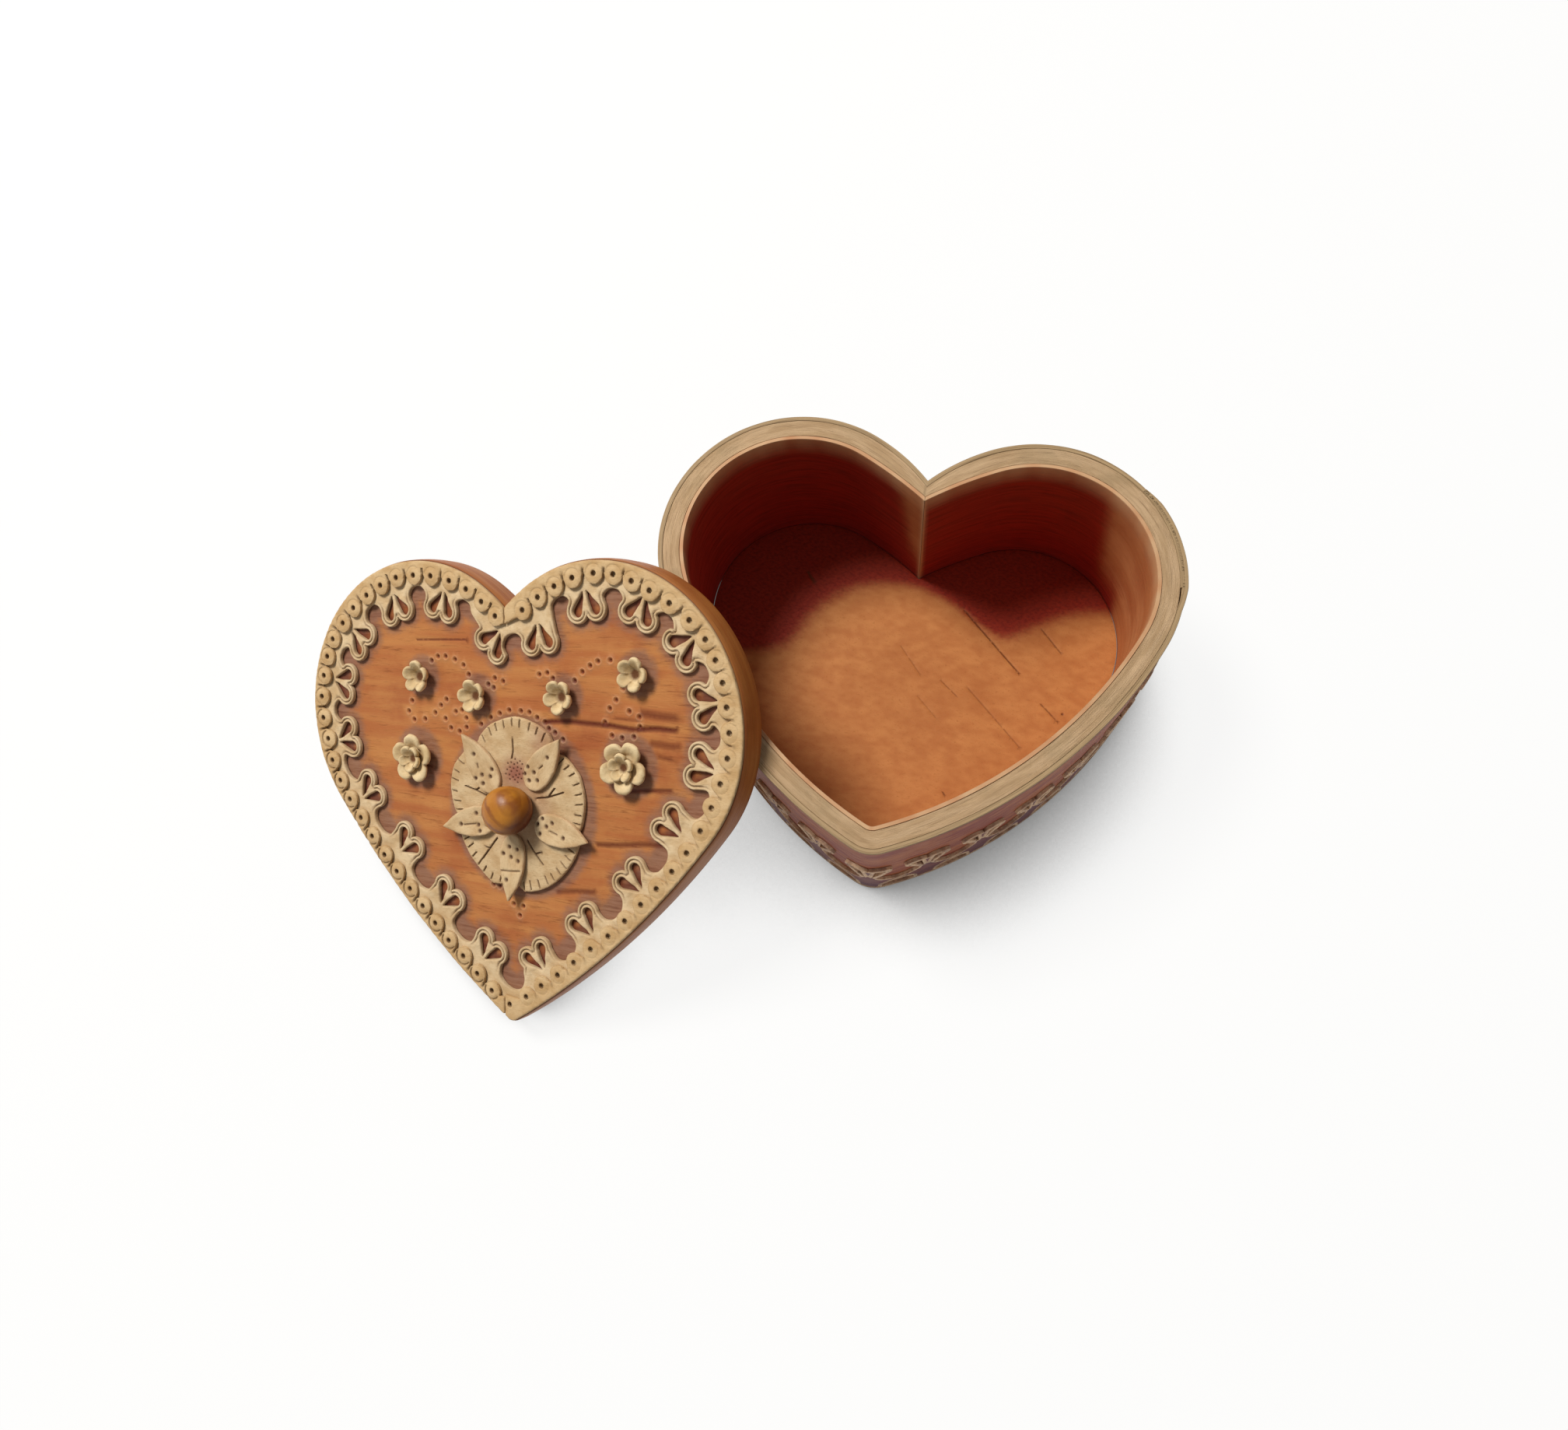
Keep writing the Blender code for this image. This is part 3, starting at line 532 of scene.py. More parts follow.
def barkSheet(name, values):
    # Smooth inner birch bark: fine fibres one way, cloudy patches, and on some a painted shade laid where the mesh's
    # own values say.
    made, tree, shader = newMaterial(name)
    long, wide = values["fibre"]
    turn = values.get("turn", 0.0)
    broad = grain(tree, (long * 4, wide * 4, wide * 4), 4.0, 0.6, turn)
    fine = grain(tree, (long, wide, wide), 5.0, 0.65, turn)
    hair = grain(tree, (long / 3, wide / 5, wide / 5), 3.0, 0.7, turn)
    patch = grain(tree, (16.67, 16.67, 16.67), 4.0, 0.6, turn)
    base = layered(tree, values["base"], [
        (broad, 0.32, 0.68, 1.0, values["light"]),
        (fine, 0.5, 0.78, values["streak"], values["dark"]),
        (patch, 0.45, 0.75, 0.45, values["warm"]),
        (hair, 0.6, 0.8, 0.35, values["dark"])])
    # painted shade: a darker tone, ragged at its edge, laid where the mesh's own values say
    if "stain" in values:
        ragged = grain(tree, (2.0, 1.111, 1.111), 5.0, 0.7, turn)
        uneven = addNode(tree, "ShaderNodeMath", {"operation": "SUBTRACT"}, {0: ragged, 1: 0.5}).outputs[0]
        here = addNode(tree, "ShaderNodeAttribute", {"attribute_name": "stain"}).outputs["Fac"]
        amount = addNode(tree, "ShaderNodeMath", {"operation": "MULTIPLY_ADD"}, {
            0: uneven, 1: values["ragged"], 2: here}).outputs[0]
        tone = layered(tree, values["stain"], [(fine, 0.35, 0.7, 1.0, values["stainDark"])])
        base = layered(tree, base, [(amount, *values["stainSpan"], values["stainMost"], tone)])
    if "rubbed" in values:
        scuff = grain(tree, (2.0, 0.2941, 0.2941), 6.0, 0.8, turn + 4, 0.6)
        base = layered(tree, base, [
            (scuff, 0.6, 0.74, 0.55, values["rubbed"]),
            ("rubbed", 0, 1, 0.4, values["rubbed"]),
            # painted shade under the lace's drop holes, from the mesh's deep values
            ("deep", 0, 1, 0.9, values["mark"])])
    base = layered(tree, base, [("mark", 0, 1, 1.0, values["mark"])])
    heights = [(fine, 0.6), (hair, 0.4)]
    finishSurface(tree, shader, base, (fine, *values["rough"]), heights, values["bump"], 0.25)
    return made


def layeredEdge(name, values):
    # The cut edge of many bark layers glued together: fine parallel lines with dull spots.
    made, tree, shader = newMaterial(name)
    lines = grain(tree, (11.11, 0.2174, 0.625), 6.0, 0.75, bend=0.7)
    broad = grain(tree, (14.29, 2.0, 3.333), 4.0, 0.6)
    speck = grain(tree, (0.7143, 0.3125, 0.3333), 4.0, 0.75)
    patch = grain(tree, (12.5, 10.0, 10.0), 3.0, 0.5)
    base = layered(tree, values["base"], [
        (broad, 0.35, 0.65, 1.0, values["light"]),
        (lines, 0.48, 0.72, values["line"], values["dark"]),
        (patch, 0.5, 0.75, 0.5, values["dull"]),
        (speck, 0.62, 0.8, 0.4, values["dark"])])
    finishSurface(tree, shader, base, (speck, 0.62, 0.88), [(lines, 0.75), (speck, 0.35)], values["bump"], 0.4)
    return made


def paleBark(name, values):
    # Pale carved bark: matt and a little waxy, with painted shade making it darker where the carving goes down.
    made, tree, shader = newMaterial(name)
    cloud = grain(tree, (5.556, 3.571, 3.571), 4.0, 0.6)
    fibre = grain(tree, (1.111, 0.3125, 0.3125), 4.0, 0.65)
    speck = grain(tree, (0.2941, 0.2, 0.2), 3.0, 0.6)
    base = layered(tree, values["base"], [
        (cloud, 0.32, 0.68, 1.0, values["light"]),
        (fibre, 0.5, 0.8, values["streak"], values["dark"]),
        (speck, 0.62, 0.82, 0.35, values["dark"]),
        ("stain", 0, 1, 1.0, values["stain"]),
        ("mark", 0, 1, 1.0, values["mark"])])
    heights = [(fibre, 0.5), (cloud, 1.2), (speck, 0.25)]
    finishSurface(tree, shader, base, (fibre, *values["rough"]), heights, values["bump"], 0.35)
    return made


def stainedBark(name, values):
    # Bark round the box, stained maroon and mauve, with the carved ridges rubbed pale.
    made, tree, shader = newMaterial(name)
    broad = grain(tree, (20.0, 8.333, 3.333), 4.0, 0.6)
    fine = grain(tree, (4.0, 0.4545, 0.4545), 5.0, 0.65)
    rub = grain(tree, (2.857, 2.857, 2.857), 4.0, 0.65)
    layers = grain(tree, (28.57, 0.25, 0.8333), 5.0, 0.7, bend=0.4)
    base = layered(tree, values["base"], [
        (broad, 0.35, 0.65, 1.0, values["light"]),
        (fine, 0.48, 0.75, 0.6, values["dark"])])
    ridge = addNode(tree, "ShaderNodeAttribute", {"attribute_name": "ridge"}).outputs["Fac"]
    crest = addNode(tree, "ShaderNodeMapRange", {"interpolation_type": "SMOOTHSTEP"}, {
        "Value": ridge, "From Min": 0.25, "From Max": 0.75})
    worn = addNode(tree, "ShaderNodeMapRange", {"interpolation_type": "SMOOTHSTEP"}, {
        "Value": rub, "From Min": 0.3, "From Max": 0.62, "To Min": 0.35})
    rubbed = addNode(tree, "ShaderNodeMath", {"operation": "MULTIPLY"}, {0: crest.outputs[0], 1: worn.outputs[0]})
    base = addNode(tree, "ShaderNodeMix", {"data_type": "RGBA"}, {
        0: rubbed.outputs[0], 6: base, 7: colour(values["ridge"])}).outputs[2]
    cut = layered(tree, values["cut"], [(layers, 0.4, 0.7, 1.0, values["cutDark"])])
    base = layered(tree, base, [("cut", 0, 1, 1.0, cut), ("mark", 0, 1, 1.0, values["mark"])])
    finishSurface(tree, shader, base, (fine, 0.42, 0.66), [(fine, 0.6), (rub, 0.6)], 0.5, 0.3)
    return made


def varnishedWood(name, values):
    # A turned wooden bead under clear varnish, with growth rings that show on its side, and painted shade on its side
    # away from the lamp.
    made, tree, shader = newMaterial(name)
    bent = grain(tree, (4.0, 4.0, 4.0), 3.0, 0.5)
    pore = grain(tree, (0.6667, 0.1667, 0.1667), 3.0, 0.6, 30)
    place = addNode(tree, "ShaderNodeAttribute", {"attribute_name": "place"}).outputs["Vector"]
    fromHeart = addNode(tree, "ShaderNodeVectorMath", {"operation": "DISTANCE"}, {0: place, 1: values["heart"]})
    drift = addNode(tree, "ShaderNodeMath", {"operation": "MULTIPLY_ADD"}, {
        0: bent, 1: 1.6, 2: fromHeart.outputs["Value"]})
    turns = addNode(tree, "ShaderNodeMath", {"operation": "MULTIPLY"}, {0: drift.outputs[0], 1: values["ringTurns"]})
    rings = addNode(tree, "ShaderNodeMath", {"operation": "SINE"}, {0: turns.outputs[0]}).outputs[0]
    # painted shade: the side away from the lamp is laid near black red
    under = addNode(tree, "ShaderNodeVectorMath", {"operation": "DOT_PRODUCT"}, {0: place, 1: values["shadedSideWay"]})
    base = layered(tree, values["base"], [
        (rings, -0.2, 1.0, 1.0, values["ring"]),
        (bent, 0.35, 0.7, 0.5, values["light"]),
        (pore, 0.55, 0.8, 0.5, values["dark"]),
        (under.outputs["Value"], 0.2, 4.4, 0.95, values["under"])])
    finishSurface(tree, shader, base, (pore, 0.26, 0.4), [(pore, 1.0)], 0.25, 0.2, 0.25)
    shader.inputs["Coat Weight"].default_value = 0.12
    shader.inputs["Coat Roughness"].default_value = 0.34
    shader.inputs["IOR"].default_value = 1.5
    return made


def plainBark(name, base, dark):
    # The frame's own undersides and peg, dull and plain, with grain along X.
    made, tree, shader = newMaterial(name)
    fibre = grain(tree, (8.333, 1.111, 1.111), 5.0, 0.65, onObject=True)
    cloud = grain(tree, (16.67, 16.67, 16.67), 4.0, 0.6, onObject=True)
    tone = layered(tree, base, [(fibre, 0.35, 0.75, 1.0, dark), (cloud, 0.4, 0.7, 0.4, dark)])
    finishSurface(tree, shader, tone, (fibre, 0.5, 0.75), [(fibre, 1.0)], 0.4, 0.3)
    return made


# "fibre" is the length and width of a fibre; the span of the painted shade says where it starts and where it is full.
materials = {
    # warm orange brown with a soft wax sheen, and painted shade in mauve brown under and beside the ornament
    "top": barkSheet("birch_bark_top_sheet_waxed", {
        "base": "#AC6638", "light": "#BF8048", "dark": "#703419", "warm": "#8A3820", "mark": "#561A0A",
        "stain": "#8C6A58", "stainDark": "#6E4A3C", "stainMost": 0.8, "stainSpan": (0.12, 0.95), "ragged": 0.7,
        "rubbed": "#CDA078", "fibre": (8.333, 0.9091), "streak": 0.8, "rough": (0.42, 0.66), "bump": 0.45}),
    # leathery orange brown, with painted shade in deep red where the back walls shade the floor
    "floor": barkSheet("birch_bark_lining_floor", {
        "base": "#B06C38", "light": "#BE7C44", "dark": "#8E4E28", "warm": "#A4602F", "mark": "#5E2C14",
        "stain": "#922410", "stainDark": "#74180E", "stainMost": 0.97, "stainSpan": (0.12, 0.85), "ragged": 0.35,
        "fibre": (1.111, 0.6667), "streak": 0.55, "turn": 40, "rough": (0.5, 0.7), "bump": 0.4}),
    # the same lining bent round the wall, its rubbed upper edge and seam pale, with painted shade in deep red on the
    # walls away from the lamp
    "liner": barkSheet("birch_bark_lining_wall", {
        "base": "#B06A3E", "light": "#C07E50", "dark": "#7E3C22", "warm": "#9A4E2C", "mark": "#C9A27A",
        "stain": "#981C14", "stainDark": "#761410", "stainMost": 0.95, "stainSpan": (0.1, 0.9), "ragged": 0.35,
        "fibre": (16.67, 1.111), "streak": 0.5, "rough": (0.45, 0.65), "bump": 0.3}),
    # plain brown strip, polished by hands
    "lidBand": barkSheet("birch_bark_lid_side", {
        "base": "#985422", "light": "#AE6E34", "dark": "#5E2810", "warm": "#883C14", "mark": "#3A180A",
        "fibre": (12.5, 0.625), "streak": 0.7, "rough": (0.35, 0.55), "bump": 0.4}),
    # dry beige end of many thin layers
    "rim": layeredEdge("birch_bark_layers_cut_edge", {
        "base": "#B4946E", "light": "#C8A882", "dark": "#7E6246", "dull": "#9E8664", "line": 0.8, "bump": 0.7}),
    # maroon skin of the wall with a pale cut edge
    "wrapEdge": stainedBark("birch_bark_wrap_stained", {
        "base": "#843020", "light": "#AC6236", "dark": "#4C1812", "ridge": "#D2A880", "mark": "#2A1214",
        "cut": "#AE926C", "cutDark": "#82694A"}),
    # cream, matt, with brown painted shade in the grooves, and at the cut edges brown that is partly the bark's layers
    # and partly painted shade
    "lace": paleBark("birch_bark_lace_pale", {
        "base": "#C8A87C", "light": "#DCC29A", "dark": "#96724E", "stain": "#5E4030", "mark": "#6A4A30",
        "streak": 0.45, "rough": (0.5, 0.7), "bump": 0.4}),
    # a little more golden than the lace; the near black in the gaps and the brown round the holes are painted shade
    "strip": paleBark("birch_bark_border_pale", {
        "base": "#C09B6A", "light": "#D4B486", "dark": "#8E6A46", "stain": "#5E4028", "mark": "#3E2614",
        "streak": 0.5, "rough": (0.48, 0.68), "bump": 0.4}),
    # chalky cream with a pink flush
    "rosette": paleBark("birch_bark_rosette_cream", {
        "base": "#BE9C70", "light": "#D4B88E", "dark": "#8A6A44", "stain": "#94604C", "mark": "#482818",
        "streak": 0.55, "rough": (0.55, 0.75), "bump": 0.45}),
    # the palest bark, with brown painted shade down in the cups and in the creases
    "flower": paleBark("birch_bark_flower_cream", {
        "base": "#CCAF80", "light": "#E0C89C", "dark": "#9E7E54", "stain": "#5E3A20", "mark": "#5E4426",
        "streak": 0.4, "rough": (0.5, 0.7), "bump": 0.4}),
    # mauve brown ground with pale ridges
    "band": stainedBark("birch_bark_carved_band_stained", {
        "base": "#5E2E38", "light": "#743A34", "dark": "#3C1C26", "ridge": "#EDC8A2", "mark": "#30181C",
        "cut": "#B39A6E", "cutDark": "#8E7750"}),
    # honey brown with darker rings, a soft varnish light, and near black red painted shade on the side away from the
    # lamp
    "bead": varnishedWood("wood_bead_varnished", {
        "base": "#A8681A", "light": "#BE8028", "ring": "#84480C", "dark": "#5E2E0A", "heart": (-6, -6, -1),
        "ringTurns": 3.0, "under": "#4E1004", "shadedSideWay": (0.62, -0.62, -0.25)}),
}
print("materials ready")


# The box

wallStep = 0.8  # between two cross sections, round the heart


def wallRings(outerOf, innerOf, low, high, columns=5, spread=0.3, lift=None):
    # One cross section: up the outer side, over the rounded top, and down the inner side.
    rows = [(0.0, low), (0.0, high - 8), (0.0, high - 1.1), (0.0, high - spread), (0.06, high - spread * 0.3)]
    rows += [((column + 0.5) / columns, high) for column in range(columns)]
    rows += [(0.94, high - spread * 0.3), (1.0, high - spread), (1.0, high - 8), (1.0, high - 24), (1.0, low)]
    section = []
    for share, height in rows:
        rise = lift(share) if lift and height == high else 0.0
        section.append((*outerOf.lerp(innerOf, share), height + rise))
    width = (innerOf - outerOf).length
    return section, [(share * width, height) for share, height in rows]


wallCore = {"outer": -1.2, "inner": -5.6, "high": 53.0, "columns": 16, "sink": 0.06, "slow": 0.10, "quick": 0.07}


def buildCore():
    length = 2 * halfLength(boxShape)
    count = round(length / wallStep)
    sections = []
    places = []
    for step in range(count):
        distance = length * step / count
        outerAt = heartPoint(boxShape, distance, wallCore["outer"])
        innerAt = heartPoint(boxShape, distance, wallCore["inner"], innerShape)

        def lift(share):
            slow = noise.noise((distance / 9, share * 3, 1.5))
            quick = noise.noise((distance / 1.3, share * 14, 4.5))
            return wallCore["slow"] * slow + wallCore["quick"] * quick - wallCore["sink"]

        section, place = wallRings(outerAt, innerAt, 0.0, wallCore["high"], wallCore["columns"], 0.35, lift)
        sections.append(section)
        places.append([(distance, across - wallCore["outer"], height) for across, height in place])
    made = ribbon("wall_core_layers", sections, places, {})
    finishPiece(made, "box", "wall_core", materials["rim"])


# The wrap's outer end lies over its start, from "lapStart" to "lapEnd" round the heart
wrap = {
    "lapStart": 59.6, "bodyEnd": 87.6, "lapEnd": 93.6, "ramp": 6.0, "rise": 0.75, "high": 52.95,
    "thickness": 1.3, "cutDepth": 0.5,
}


def lapRise(distance):
    # How far the lap lifts the wrap's skin, with a ramp at each end.
    fromStart = distance - wrap["lapStart"] + wrap["ramp"]
    climb = min(fromStart / wrap["ramp"], (wrap["lapEnd"] - distance) / wrap["ramp"], 1.0)
    return max(climb, 0.0) * wrap["rise"]


def buildWrap():
    length = 2 * halfLength(boxShape)
    start, full, end = wrap["lapStart"], wrap["bodyEnd"], wrap["lapEnd"]
    route = [(distance, 0.0) for distance in np.arange(full, 0, -wallStep)]
    route += [(distance, 0.0) for distance in np.arange(length, end, -wallStep)]
    for distance in [*np.arange(end, start, -wallStep), start]:
        route.append((distance, lapRise(distance) * min(1.0, 0.1 + (distance - start) / wrap["ramp"])))
    sections = []
    places = []
    cuts = []
    for order, (distance, rise) in enumerate(route):
        isPastNotch = float(order > full / wallStep)
        sway = 0.05 * noise.noise((distance / 6, 2.5, isPastNotch))
        outerAt = heartPoint(boxShape, distance, rise + sway)
        innerAt = heartPoint(boxShape, distance, min(rise, 0.45) - wrap["thickness"])
        high = wrap["high"] + 0.16 * noise.noise((distance / 14, 7.5, 0.5))
        section, place = wallRings(outerAt, innerAt, 0.0, high)
        sections.append(section)
        places.append([(order * wallStep, across, height) for across, height in place])
        cuts.append([1.0 if height > high - wrap["cutDepth"] else 0.0 for across, height in place])
    made = ribbon("outer_wrap_bark", sections, places, {"cut": cuts}, closed=False)
    finishPiece(made, "box", "outer_wrap", materials["wrapEdge"])


liner = {"outer": -5.55, "inner": -6.6, "low": 3.3, "high": 53.05, "seam": 0.05, "seamGlow": 1.0, "worn": 0.6}
# Painted shade: the deep red lies up to "reach" times the height of the wall behind it, along "way", the way to the
# lamp, from the wall
paintedLiningShade = {
    "way": (-0.843, 0.537), "rim": 53.0, "least": 21.0, "reach": 0.75, "soft": 13.0, "draw": 0.975,
    "front": -17.0, "frontRun": 9.0,
}


def paintedShadeShares(places):
    # How much painted shade each spot gets: how far it lies behind the back walls, seen from the lamp, laid as deep red
    # on the lining.
    way = np.array(paintedLiningShade["way"])
    loop = asRows(heartLoop(innerShape, liner["inner"]))
    side = np.roll(loop, -1, axis=0) - loop
    cross = way[0] * side[:, 1] - way[1] * side[:, 0]
    cross = np.where(np.abs(cross) < 1e-9, 1e-9, cross)
    shares = []
    for x, y, z in places:
        rel = loop - np.array((x, y)) * paintedLiningShade["draw"]
        reach = (rel[:, 0] * side[:, 1] - rel[:, 1] * side[:, 0]) / cross
        share = (rel[:, 0] * way[1] - rel[:, 1] * way[0]) / cross
        hits = reach[(reach > 0) & (share >= 0) & (share <= 1)]
        nearest = hits.min() if len(hits) else 0.0
        depth = max(paintedLiningShade["rim"] - z, paintedLiningShade["least"])
        inShade = (paintedLiningShade["reach"] * depth - nearest) / paintedLiningShade["soft"]
        fromFront = (y - paintedLiningShade["front"]) / paintedLiningShade["frontRun"]
        shares.append(inShade * min(max(fromFront, 0.0), 1.0))
    shares = np.clip(shares, 0, 1)
    return shares * shares * (3 - 2 * shares)


def buildLiner():
    length = 2 * halfLength(boxShape)
    count = round(length / wallStep)
    sections = []
    places = []
    marks = []
    for step in range(count + 1):
        distance = length * step / count
        outerAt = heartPoint(boxShape, distance, liner["outer"], innerShape)
        innerAt = heartPoint(boxShape, distance, liner["inner"], innerShape)
        if step in (0, count):
            outerAt.x = innerAt.x = liner["seam"] if step == 0 else -liner["seam"]
        high = liner["high"] + 0.14 * noise.noise((distance / 11, 3.5, 0.5))
        section, place = wallRings(outerAt, innerAt, liner["low"], high)
        sections.append(section)
        places.append([(distance, across - wallCore["inner"], height) for across, height in place])
        bySeam = 1 - min(distance, length - distance) / liner["seamGlow"]
        rubbing = 0.75 + 0.5 * noise.noise((distance / 4, 1.5, 4.5))
        row = []
        for across, height in place:
            top = min(max((height - high + liner["worn"]) / 0.4, 0.0), 1.0) * rubbing
            row.append(max(0.0, bySeam if across > 0.5 else 0.0, top))
        marks.append(row)
    # painted shade: deep red on the lining where the back walls shade it, none on its top edge
    paintedShades = paintedShadeShares([spot for section in sections for spot in section]).reshape(len(sections), -1)
    paintedShades *= fade(np.array(sections)[:, :, 2], 1.2, 52.0)
    made = ribbon("inner_liner_bark", sections, places, {"mark": marks, "stain": paintedShades}, closed=False)
    finishPiece(made, "box", "inner_liner", materials["liner"])


floorSheet = {"edge": -6.85, "high": 4.0, "softRing": 2.2, "step": 0.9, "rings": [0.5], "grid": 1.3, "low": 3.3}
# Pores and nicks of the floor: their line, half width, depth and darkness
floorMarks = [
    ([(14.4, 7.4), (32.6, -9.6)], 0.35, 0.2, 0.85), ([(36.9, 4.7), (43.4, -1.9)], 0.3, 0.15, 0.7),
    ([(10.8, -14.6), (16.3, -18.9)], 0.25, 0.12, 0.5), ([(39.2, -17.2), (44.9, -22.0)], 0.3, 0.15, 0.7),
    ([(5.0, -20.2), (11.4, -26.1)], 0.25, 0.1, 0.3), ([(18.7, -15.7), (35.3, -30.8)], 0.28, 0.12, 0.45),
    ([(-2.0, -6.0), (5.0, -14.0)], 0.25, 0.1, 0.35), ([(-32.4, 12.6), (-29.8, 9.6)], 0.6, 0.3, 0.9),
    ([(45.4, -19.2)], 0.55, 0.2, 0.9), ([(15.9, -46.5), (16.8, -47.6)], 0.3, 0.15, 0.8),
]


def buildFloor():
    high = floorSheet["high"]
    form = dict(floorSheet, top=high)
    around = [Vector((0, 0)), *arc((0, 0), floorSheet["softRing"], 0, 300, 6)]

    def relief(flat, away, down):
        drop = rounding(away[0], 0.5, 0.15) + down - wavy(flat, 17, 0.5, 0.12)
        # painted shade: the back walls' shade on the floor, laid deep red and softened over a ring of spots
        deep = sum(paintedShadeShares([(x + shift.x, y + shift.y, high) for x, y in flat]) for shift in around)
        return drop, {"stain": deep / len(around)}

    loop = heartLoop(innerShape, floorSheet["edge"])
    made = carvedSheet("floor_bark", [loop], form, relief, marks=[carveMark(*row) for row in floorMarks])
    finishPiece(made, "box", "floor_liner", materials["floor"])


# The carved band: two lobes a motif with a drop-shaped hole in each, arches and windows between them
carvedBand = {
    "motifs": 25, "lobe": 3.1, "spread": 3.0, "lobeHigh": 28.0, "neck": 2.0, "neckHigh": 18.5,
    "arch": 12.5, "archHalf": 2.6, "archSide": 13.6, "foot": 0.5, "ends": 2.0, "hole": 1.4, "holeTip": (0.9, 19.8),
    "endBend": (5.6, 13.4), "window": {"half": 4.5, "low": 2.2, "rise": 7.3}, "lift": 0.05,
}
windowShares = [
    (-1, 0), (-0.98, 0.35), (-0.84, 0.68), (-0.5, 0.93), (0, 1), (0.5, 0.93), (0.84, 0.68), (0.98, 0.35), (1, 0),
]


def bandLoops():
    # The band unrolled: its edge and windows, and the drop-shaped holes.
    band, window = carvedBand, carvedBand["window"]
    length = 2 * halfLength(boxShape)
    pitch = length / band["motifs"]
    farEnd = length - band["ends"]
    bendAway, bendHigh = band["endBend"]
    top = [Vector((band["ends"], band["arch"]))]
    holes = []
    drops = []

    def lobeUp(middle):
        return arc((middle - band["spread"], band["lobeHigh"]), band["lobe"], 225, 14.6, 18)

    for index in range(band["motifs"]):
        middle = (index + 0.5) * pitch
        up = lobeUp(middle)
        down = [Vector((2 * middle - point.x, point.y)) for point in reversed(up)]
        if index == 0:
            start = [(0, band["arch"] + 0.1), top[-1], (middle - bendAway, bendHigh)]
            line = [Vector(point) for point in [*start, (middle - band["neck"], band["neckHigh"])]]
            top += splined([*line, up[0], up[1]])[1:-1]
        top += up + down[1:]
        line = [down[-2], down[-1], Vector((middle + band["neck"], band["neckHigh"]))]
        if index < band["motifs"] - 1:
            between = middle + pitch / 2
            half = band["archHalf"]
            arch = [(between - half, band["archSide"]), (between, band["arch"]), (between + half, band["archSide"])]
            arch.append((middle + pitch - band["neck"], band["neckHigh"]))
            top += splined([*line, *[Vector(point) for point in arch], *lobeUp(middle + pitch)[:2]])[1:-1]
            holes.append([
                Vector((between + window["half"] * x, window["low"] + window["rise"] * y)) for x, y in windowShares])
        else:
            arch = [(middle + bendAway, bendHigh), (farEnd, band["arch"]), (length, band["arch"])]
            top += splined([*line, *[Vector(point) for point in arch]])[1:-1]
        for side in (-1, 1):
            lobeX = middle + side * band["spread"]
            drop = arc((lobeX, band["lobeHigh"]), band["hole"], -50, 190, 12)
            if side < 0:
                drop = [Vector((2 * lobeX - point.x, point.y)) for point in drop]
            tipX, tipY = band["holeTip"]
            drops.append(drop + [Vector((middle + side * tipX, tipY))])
    top.append(Vector((farEnd, band["arch"])))
    foot = [Vector((farEnd, band["foot"])), Vector((band["ends"], band["foot"]))]
    return [top + foot] + holes, drops


def bandBend(place):
    # The flat band wraps round the wall and over the lap.
    out = np.empty_like(place)
    for index, (distance, height, rise) in enumerate(place):
        point = heartPoint(boxShape, distance, lapRise(distance) + carvedBand["lift"] + rise)
        out[index] = (point.x, point.y, height)
    return out


def buildBand():
    loops, drops = bandLoops()
    form = {"step": 0.5, "rings": [0.25, 0.55, 0.85, 1.2], "grid": 1.6, "top": 0.95, "low": 0.0}

    def relief(flat, away, down):
        near = np.minimum(away[0], away[1])
        drop = rounding(near, 0.4, 0.25) + 0.3 * bell(near, 0.85, 0.22) + down
        drop += 0.25 * np.clip((near - 0.9) / 0.6, 0, 1)
        ridge = np.clip(1.3 - np.abs(near - 0.45) / 0.5, 0, 1) ** 0.5
        foot = fade(flat[:, 1], 0.6, 1.6)
        return drop, {"ridge": np.maximum(ridge, foot * 0.7)}

    count = len(loops)
    groups = [list(range(count)), list(range(count, count + len(drops)))]
    made = carvedSheet("carved_band_bark", loops + drops, form, relief, bandBend, groups=groups)
    finishPiece(made, "box", "carved_band", materials["band"])


buildCore()
buildWrap()
buildLiner()
buildFloor()
buildBand()
print("box ready")


# The lid

# The carver's spacing, by eye: distance round the heart from the notch and depth from its edge
laceMotifs = {
    "right": [(26.5, 12.1), (48.1, 11.4), (67.9, 10.9), (87.6, 11.5), (107.7, 12.3), (129.8, 12.3), (149.2, 10.9),
              (169.9, 11.6), (190.0, 12.4)],
    "left": [(22.6, 12.2), (45.3, 12.6), (68.3, 12.0), (87.7, 11.3), (108.5, 11.4), (129.2, 11.0), (149.2, 12.3),
             (169.6, 12.6), (189.6, 11.8)],
    "notch": {"right": ((10.5, 20.1), (0.14, -0.99)), "left": ((5.6, 18.9), (0.635, -0.772))},
    "notchArch": [(-1.5, 18.6), (-0.9, 20.6), (0.6, 21.8), (2.6, 22.2), (4.1, 21.6)],
    "tipArch": [(-4.6, -67.0), (-4.6, -69.3), (-2.6, -71.4), (0.1, -72.2), (2.7, -71.2), (3.6, -69.0), (3.4, -67.0)],
    "firstGap": {"right": 16.5, "left": 12.5},
}
# One motif: its lobes, and a drop-shaped hole from its round end on (along and depth)
laceMotif = {
    "depth": 12.0, "lobe": 3.15, "spread": 2.8, "lobeDepth": 12.1, "dip": 13.3, "hole": 1.5,
    "holeTail": [(1.0, 10.9), (0.62, 9.4), (0.5, 7.3), (1.15, 7.9), (2.3, 9.3), (3.3, 10.4)],
}
